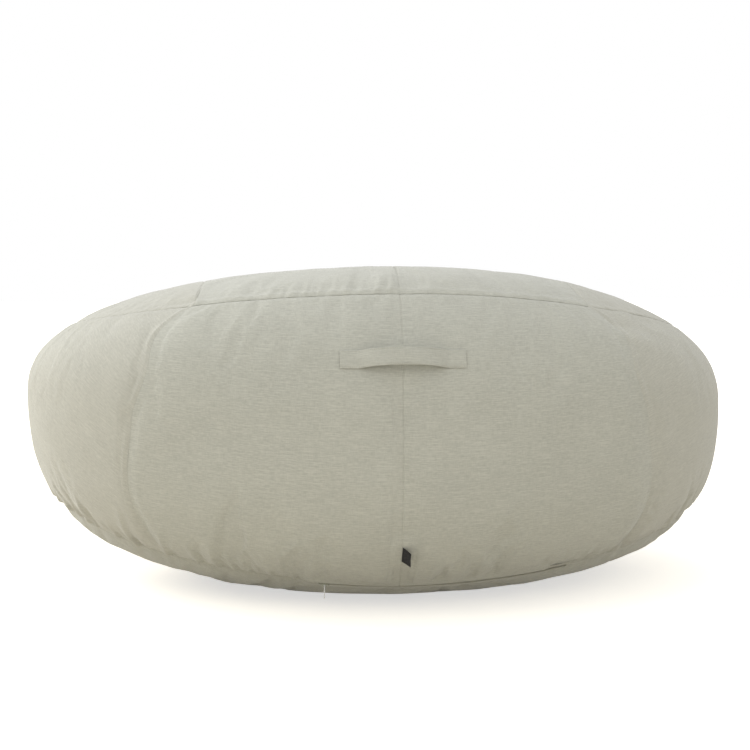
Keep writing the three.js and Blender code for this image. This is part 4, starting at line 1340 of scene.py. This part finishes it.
def strap():
    half, rounded, first = HANDLE_LENGTH / 2, 0.0016, 0.0005
    run = np.linspace(-half + rounded, half - rounded, 180)
    x = HANDLE_X + np.concatenate([[-half, -half + first], run, [half - first, half]])
    end = np.clip((half - np.abs(x - HANDLE_X)) / rounded, 0, 1)
    end = np.sqrt(1 - (1 - end) ** 2)
    turn = np.linspace(0, 2 * np.pi, 56, endpoint=False)
    v = signed_power(np.cos(turn), 0.35) * HANDLE_WIDTH / 2
    face = signed_power(np.sin(turn), 0.5)
    edge = HANDLE_WIDTH / 2 - np.abs(v)
    dent = 0.00032 * np.exp(-(((edge - 0.0026) / 0.0011) ** 2))
    swell = 0.00025 * (1 - (v / (HANDLE_WIDTH / 2)) ** 2)
    thick = (HANDLE_THICKNESS / 2 - 0.0002 - dent + swell) * face
    free = np.clip(handle_lift(x) / 0.01, 0, 1)[:, None]
    wave = 0.0005 * np.sin(x[:, None] * 71 + v[None] * 90) * free
    outwards = HANDLE_THICKNESS / 2 + thick[None] * (0.25 + 0.75 * end[:, None]) + wave
    narrow = 1 - 0.012 * np.clip(handle_lift(x) / 0.02, 0, 1)
    points = strap_point(x[:, None], v[None] * narrow[:, None], outwards)
    columns, rows = points.shape[:2]
    i, j = np.meshgrid(np.arange(columns - 1), np.arange(rows), indexing="ij")
    right = (j + 1) % rows
    faces = np.stack([i * rows + j, (i + 1) * rows + j, (i + 1) * rows + right, i * rows + right], -1)
    faces = faces.reshape(-1, 4)
    j = np.arange(rows // 2 - 1)
    caps = []
    for first in (0, (columns - 1) * rows):
        cap = np.stack([first + j, first + j + 1, first + rows - 2 - j, first + rows - 1 - j], -1)
        caps.append(cap if first else cap[:, ::-1])
    grain = np.stack(np.broadcast_arrays(x[:, None], v[None] + np.where(face > 0, 0, 0.05)[None]), -1)
    faces = np.concatenate([faces, *caps])
    piece = mesh_of("carry_strap", points.reshape(-1, 3), faces, grain.reshape(-1, 2))
    piece.data.materials.append(strap_cloth)
    follow_handle(piece)
    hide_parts("handle_end_left", "handle_grip", "handle_end_right")


def follow_handle(piece):
    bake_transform(piece)


def stitches(points, out, length=0.003, gap=0.001, radius=0.00028):
    """Single stitches along a line of points, each sinking into the cloth at its ends."""
    run = np.concatenate([[0], np.cumsum(np.linalg.norm(np.diff(points, axis=0), axis=-1))])
    count = max(int(round(run[-1] / (length + gap))), 1)
    pitch = run[-1] / count
    parts = []
    for k in range(count):
        at = k * pitch + (pitch - length) / 2 + length * np.linspace(0, 1, 6)
        arch = np.sin(np.linspace(0, np.pi, 6))
        path = np.stack([np.interp(at, run, points[:, axis]) for axis in range(3)], -1)
        up = np.stack([np.interp(at, run, out[:, axis]) for axis in range(3)], -1)
        path = path + up * (radius * (arch * 1.1 - 0.75))[:, None]
        parts.append(tube(path, radius * (0.55 + 0.45 * arch), 6))
    return joined(parts)


def stitch_piece(name, parts):
    piece = mesh_of(name, *joined(parts))
    piece.data.materials.append(thread)
    return piece


def strap_line(x, v):
    """Points and outward directions of a line on the strap's outer face."""
    x, v = np.broadcast_arrays(x, v)
    dent = 0.0003
    points = strap_point(x, v, HANDLE_THICKNESS - 0.0002 - dent + 0.00005)
    return points, np.broadcast_to(STRAP_OUT, points.shape)


def strap_stitching():
    half, inset = HANDLE_LENGTH / 2, 0.0028
    edge = HANDLE_WIDTH / 2 - inset
    inner = half - HANDLE_SEWN + 0.002
    for side, place in ((-1, "left"), (1, "right")):
        near, far = HANDLE_X + side * inner, HANDLE_X + side * (half - inset)
        lines = [
            (np.linspace(near, far, 40), np.full(40, edge)),
            (np.full(40, far), np.linspace(edge, -edge, 40)),
            (np.linspace(far, near, 40), np.full(40, -edge)),
            (np.full(40, near), np.linspace(-edge, edge, 40)),
        ]
        rows = [stitches(*strap_line(x, v)) for x, v in lines]
        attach(stitch_piece(f"strap_box_stitch_{place}", rows), "pouf")
    x = np.linspace(HANDLE_X - inner + 0.002, HANDLE_X + inner - 0.002, 160)
    rows = [stitches(*strap_line(x, np.full(160, v))) for v in (-edge, edge)]
    follow_handle(stitch_piece("strap_edge_stitching", rows))


strap()
strap_stitching()


# ---------- flag label in the front seam ----------
def flag():
    """A folded black ribbon, caught in the seam by its two ends."""
    root, root_out = front_point(np.array(FLAG_X), np.array(FLAG_Z))
    above, _ = front_point(np.array(FLAG_X), np.array(FLAG_Z + 0.01))
    seam_up = unit(above - root)
    out = np.cross([1.0, 0, 0], seam_up)
    out = unit(out if out @ root_out > 0 else -out)
    aside = np.cross(seam_up, out)
    aside = aside if aside[0] > 0 else -aside
    reach = out * np.cos(FLAG_TURN) + aside * np.sin(FLAG_TURN)
    face = np.cross(reach, seam_up)
    seat, bend, straight = HANDLE_SEAT + 0.0004, FLAG_BEND, FLAG_REACH - FLAG_BEND
    across = np.linspace(-0.5, 0.5, 48)[:, None]
    run = np.linspace(0, 1, 22)
    curl = np.linspace(-np.pi / 2, np.pi / 2, 11)[1:-1]
    forth = np.concatenate([run * straight, straight + bend * np.cos(curl), run[::-1] * straight])
    gap = bend * (0.25 + 0.75 * run**2)
    side = np.concatenate([-gap, bend * np.sin(curl), gap[::-1]])
    forth, side = forth[None] + 0 * across, side[None] + 0 * across
    share = forth / FLAG_REACH
    droop = 0.0034 * share**1.6 * (1 + 0.35 * across)
    twist = 0.0022 * share**2 * (across - 0.1) + 0.0007 * np.sin(across * 5 + 1) * share
    points = root + seat * out + across[..., None] * FLAG_LENGTH * seam_up
    points = points + forth[..., None] * reach + (side + twist)[..., None] * face
    points = points - np.array([0, 0, 1.0]) * droop[..., None]
    columns, rows = forth.shape
    grain = np.stack([across * FLAG_LENGTH + 0 * forth, forth + np.where(side > 0, 0.03, 0)], -1)
    faces = grid_faces(columns, rows)
    piece = mesh_of("black_flag", points.reshape(-1, 3), faces, grain.reshape(-1, 2))
    thicken(piece, FLAG_THICKNESS, offset=0)
    piece.data.materials.append(label_cloth)
    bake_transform(piece)
    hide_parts("label_flag")


flag()


# ---------- inner bag and its filling ----------
def shell_piece(name, depth_of, columns=246, rows=170):
    points, faces = closed_skin(depth_of, columns, rows)
    flat, quads, tips = close_ends(points, faces)
    mesh = bpy.data.meshes.new(name)
    mesh.from_pydata(flat.tolist(), [], quads.tolist() + tips.tolist())
    layer = mesh.uv_layers.new(name="grain")
    vertex = np.empty(len(mesh.loops), np.int32)
    mesh.loops.foreach_get("vertex_index", vertex)
    layer.data.foreach_set("uv", plain_grain(flat)[vertex].astype(np.float32).ravel())
    mesh.polygons.foreach_set("use_smooth", np.ones(len(mesh.polygons), bool))
    mesh.update()
    piece = placed(name, mesh)
    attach(piece, "pouf")
    return piece


def behind_zip(theta, latitude):
    wrapped = (theta + np.pi) % (2 * np.pi) - np.pi
    return zip_share(wrapped) * np.exp(-(((latitude - base_seam(theta)) * 0.4 / 0.028) ** 4))


def bag_depth(theta, latitude):
    standing = ease((latitude - flat_latitude(theta)) / 0.12)
    deep = 0.0115 + 0.002 * np.maximum(seam_nearness(theta, latitude), behind_zip(theta, latitude))
    top = latitude > top_seam(theta) + 0.06
    deep = np.where(top, 0.0125, deep)
    points = skin(theta, latitude)
    return 0.0022 + (deep - 0.0022) * standing - 0.0004 * drift(points, 0.12, 21) * standing


def filling_depth(theta, latitude):
    points = skin(theta, latitude)
    return bag_depth(theta, latitude) + 0.0055 + 0.0012 * drift(points, 0.03, 22)


def open_slit(piece, low, high):
    """Cuts a rectangular opening in the bottom of the bag."""
    shape = bmesh.new()
    shape.from_mesh(piece.data)
    for axis in (0, 1):
        for place in (low[axis], high[axis]):
            point, way = Vector((0, 0, 0)), Vector((0, 0, 0))
            point[axis], way[axis] = place, 1
            near = [f for f in shape.faces if f.calc_center_median().z < 0.01]
            edges = {e for f in near for e in f.edges}
            corners = {v for f in near for v in f.verts}
            cut = [*near, *edges, *corners]
            bmesh.ops.bisect_plane(shape, geom=cut, plane_co=point, plane_no=way)
    inside = []
    for f in shape.faces:
        c = f.calc_center_median()
        if c.z < 0.01 and low[0] < c.x < high[0] and low[1] < c.y < high[1]:
            inside.append(f)
    bmesh.ops.delete(shape, geom=inside, context="FACES")
    shape.to_mesh(piece.data)
    shape.free()


bag = shell_piece("inner_bag", bag_depth)
open_slit(bag, (-0.1699, MIDDLE_Y - 0.005), (0.2307, MIDDLE_Y + 0.005))
thicken(bag, 0.0009)
bag.data.materials.append(bag_cloth)
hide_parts("inner_liner")
beads = shell_piece("bead_mass", filling_depth)
beads.data.materials.append(bead_foam)
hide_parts("bead_filling")
for name, node in frame["nodes"].items():
    if name.startswith("liner_zip_tape"):
        finish_node(name, liner_tape, 0)
    elif name.startswith("liner_zip_coil"):
        finish_node(name, coil_plastic, 0.0003)
    elif name.startswith("liner_zip") and name != "liner_zip_slider":
        finish_node(name, painted, 0.0002)
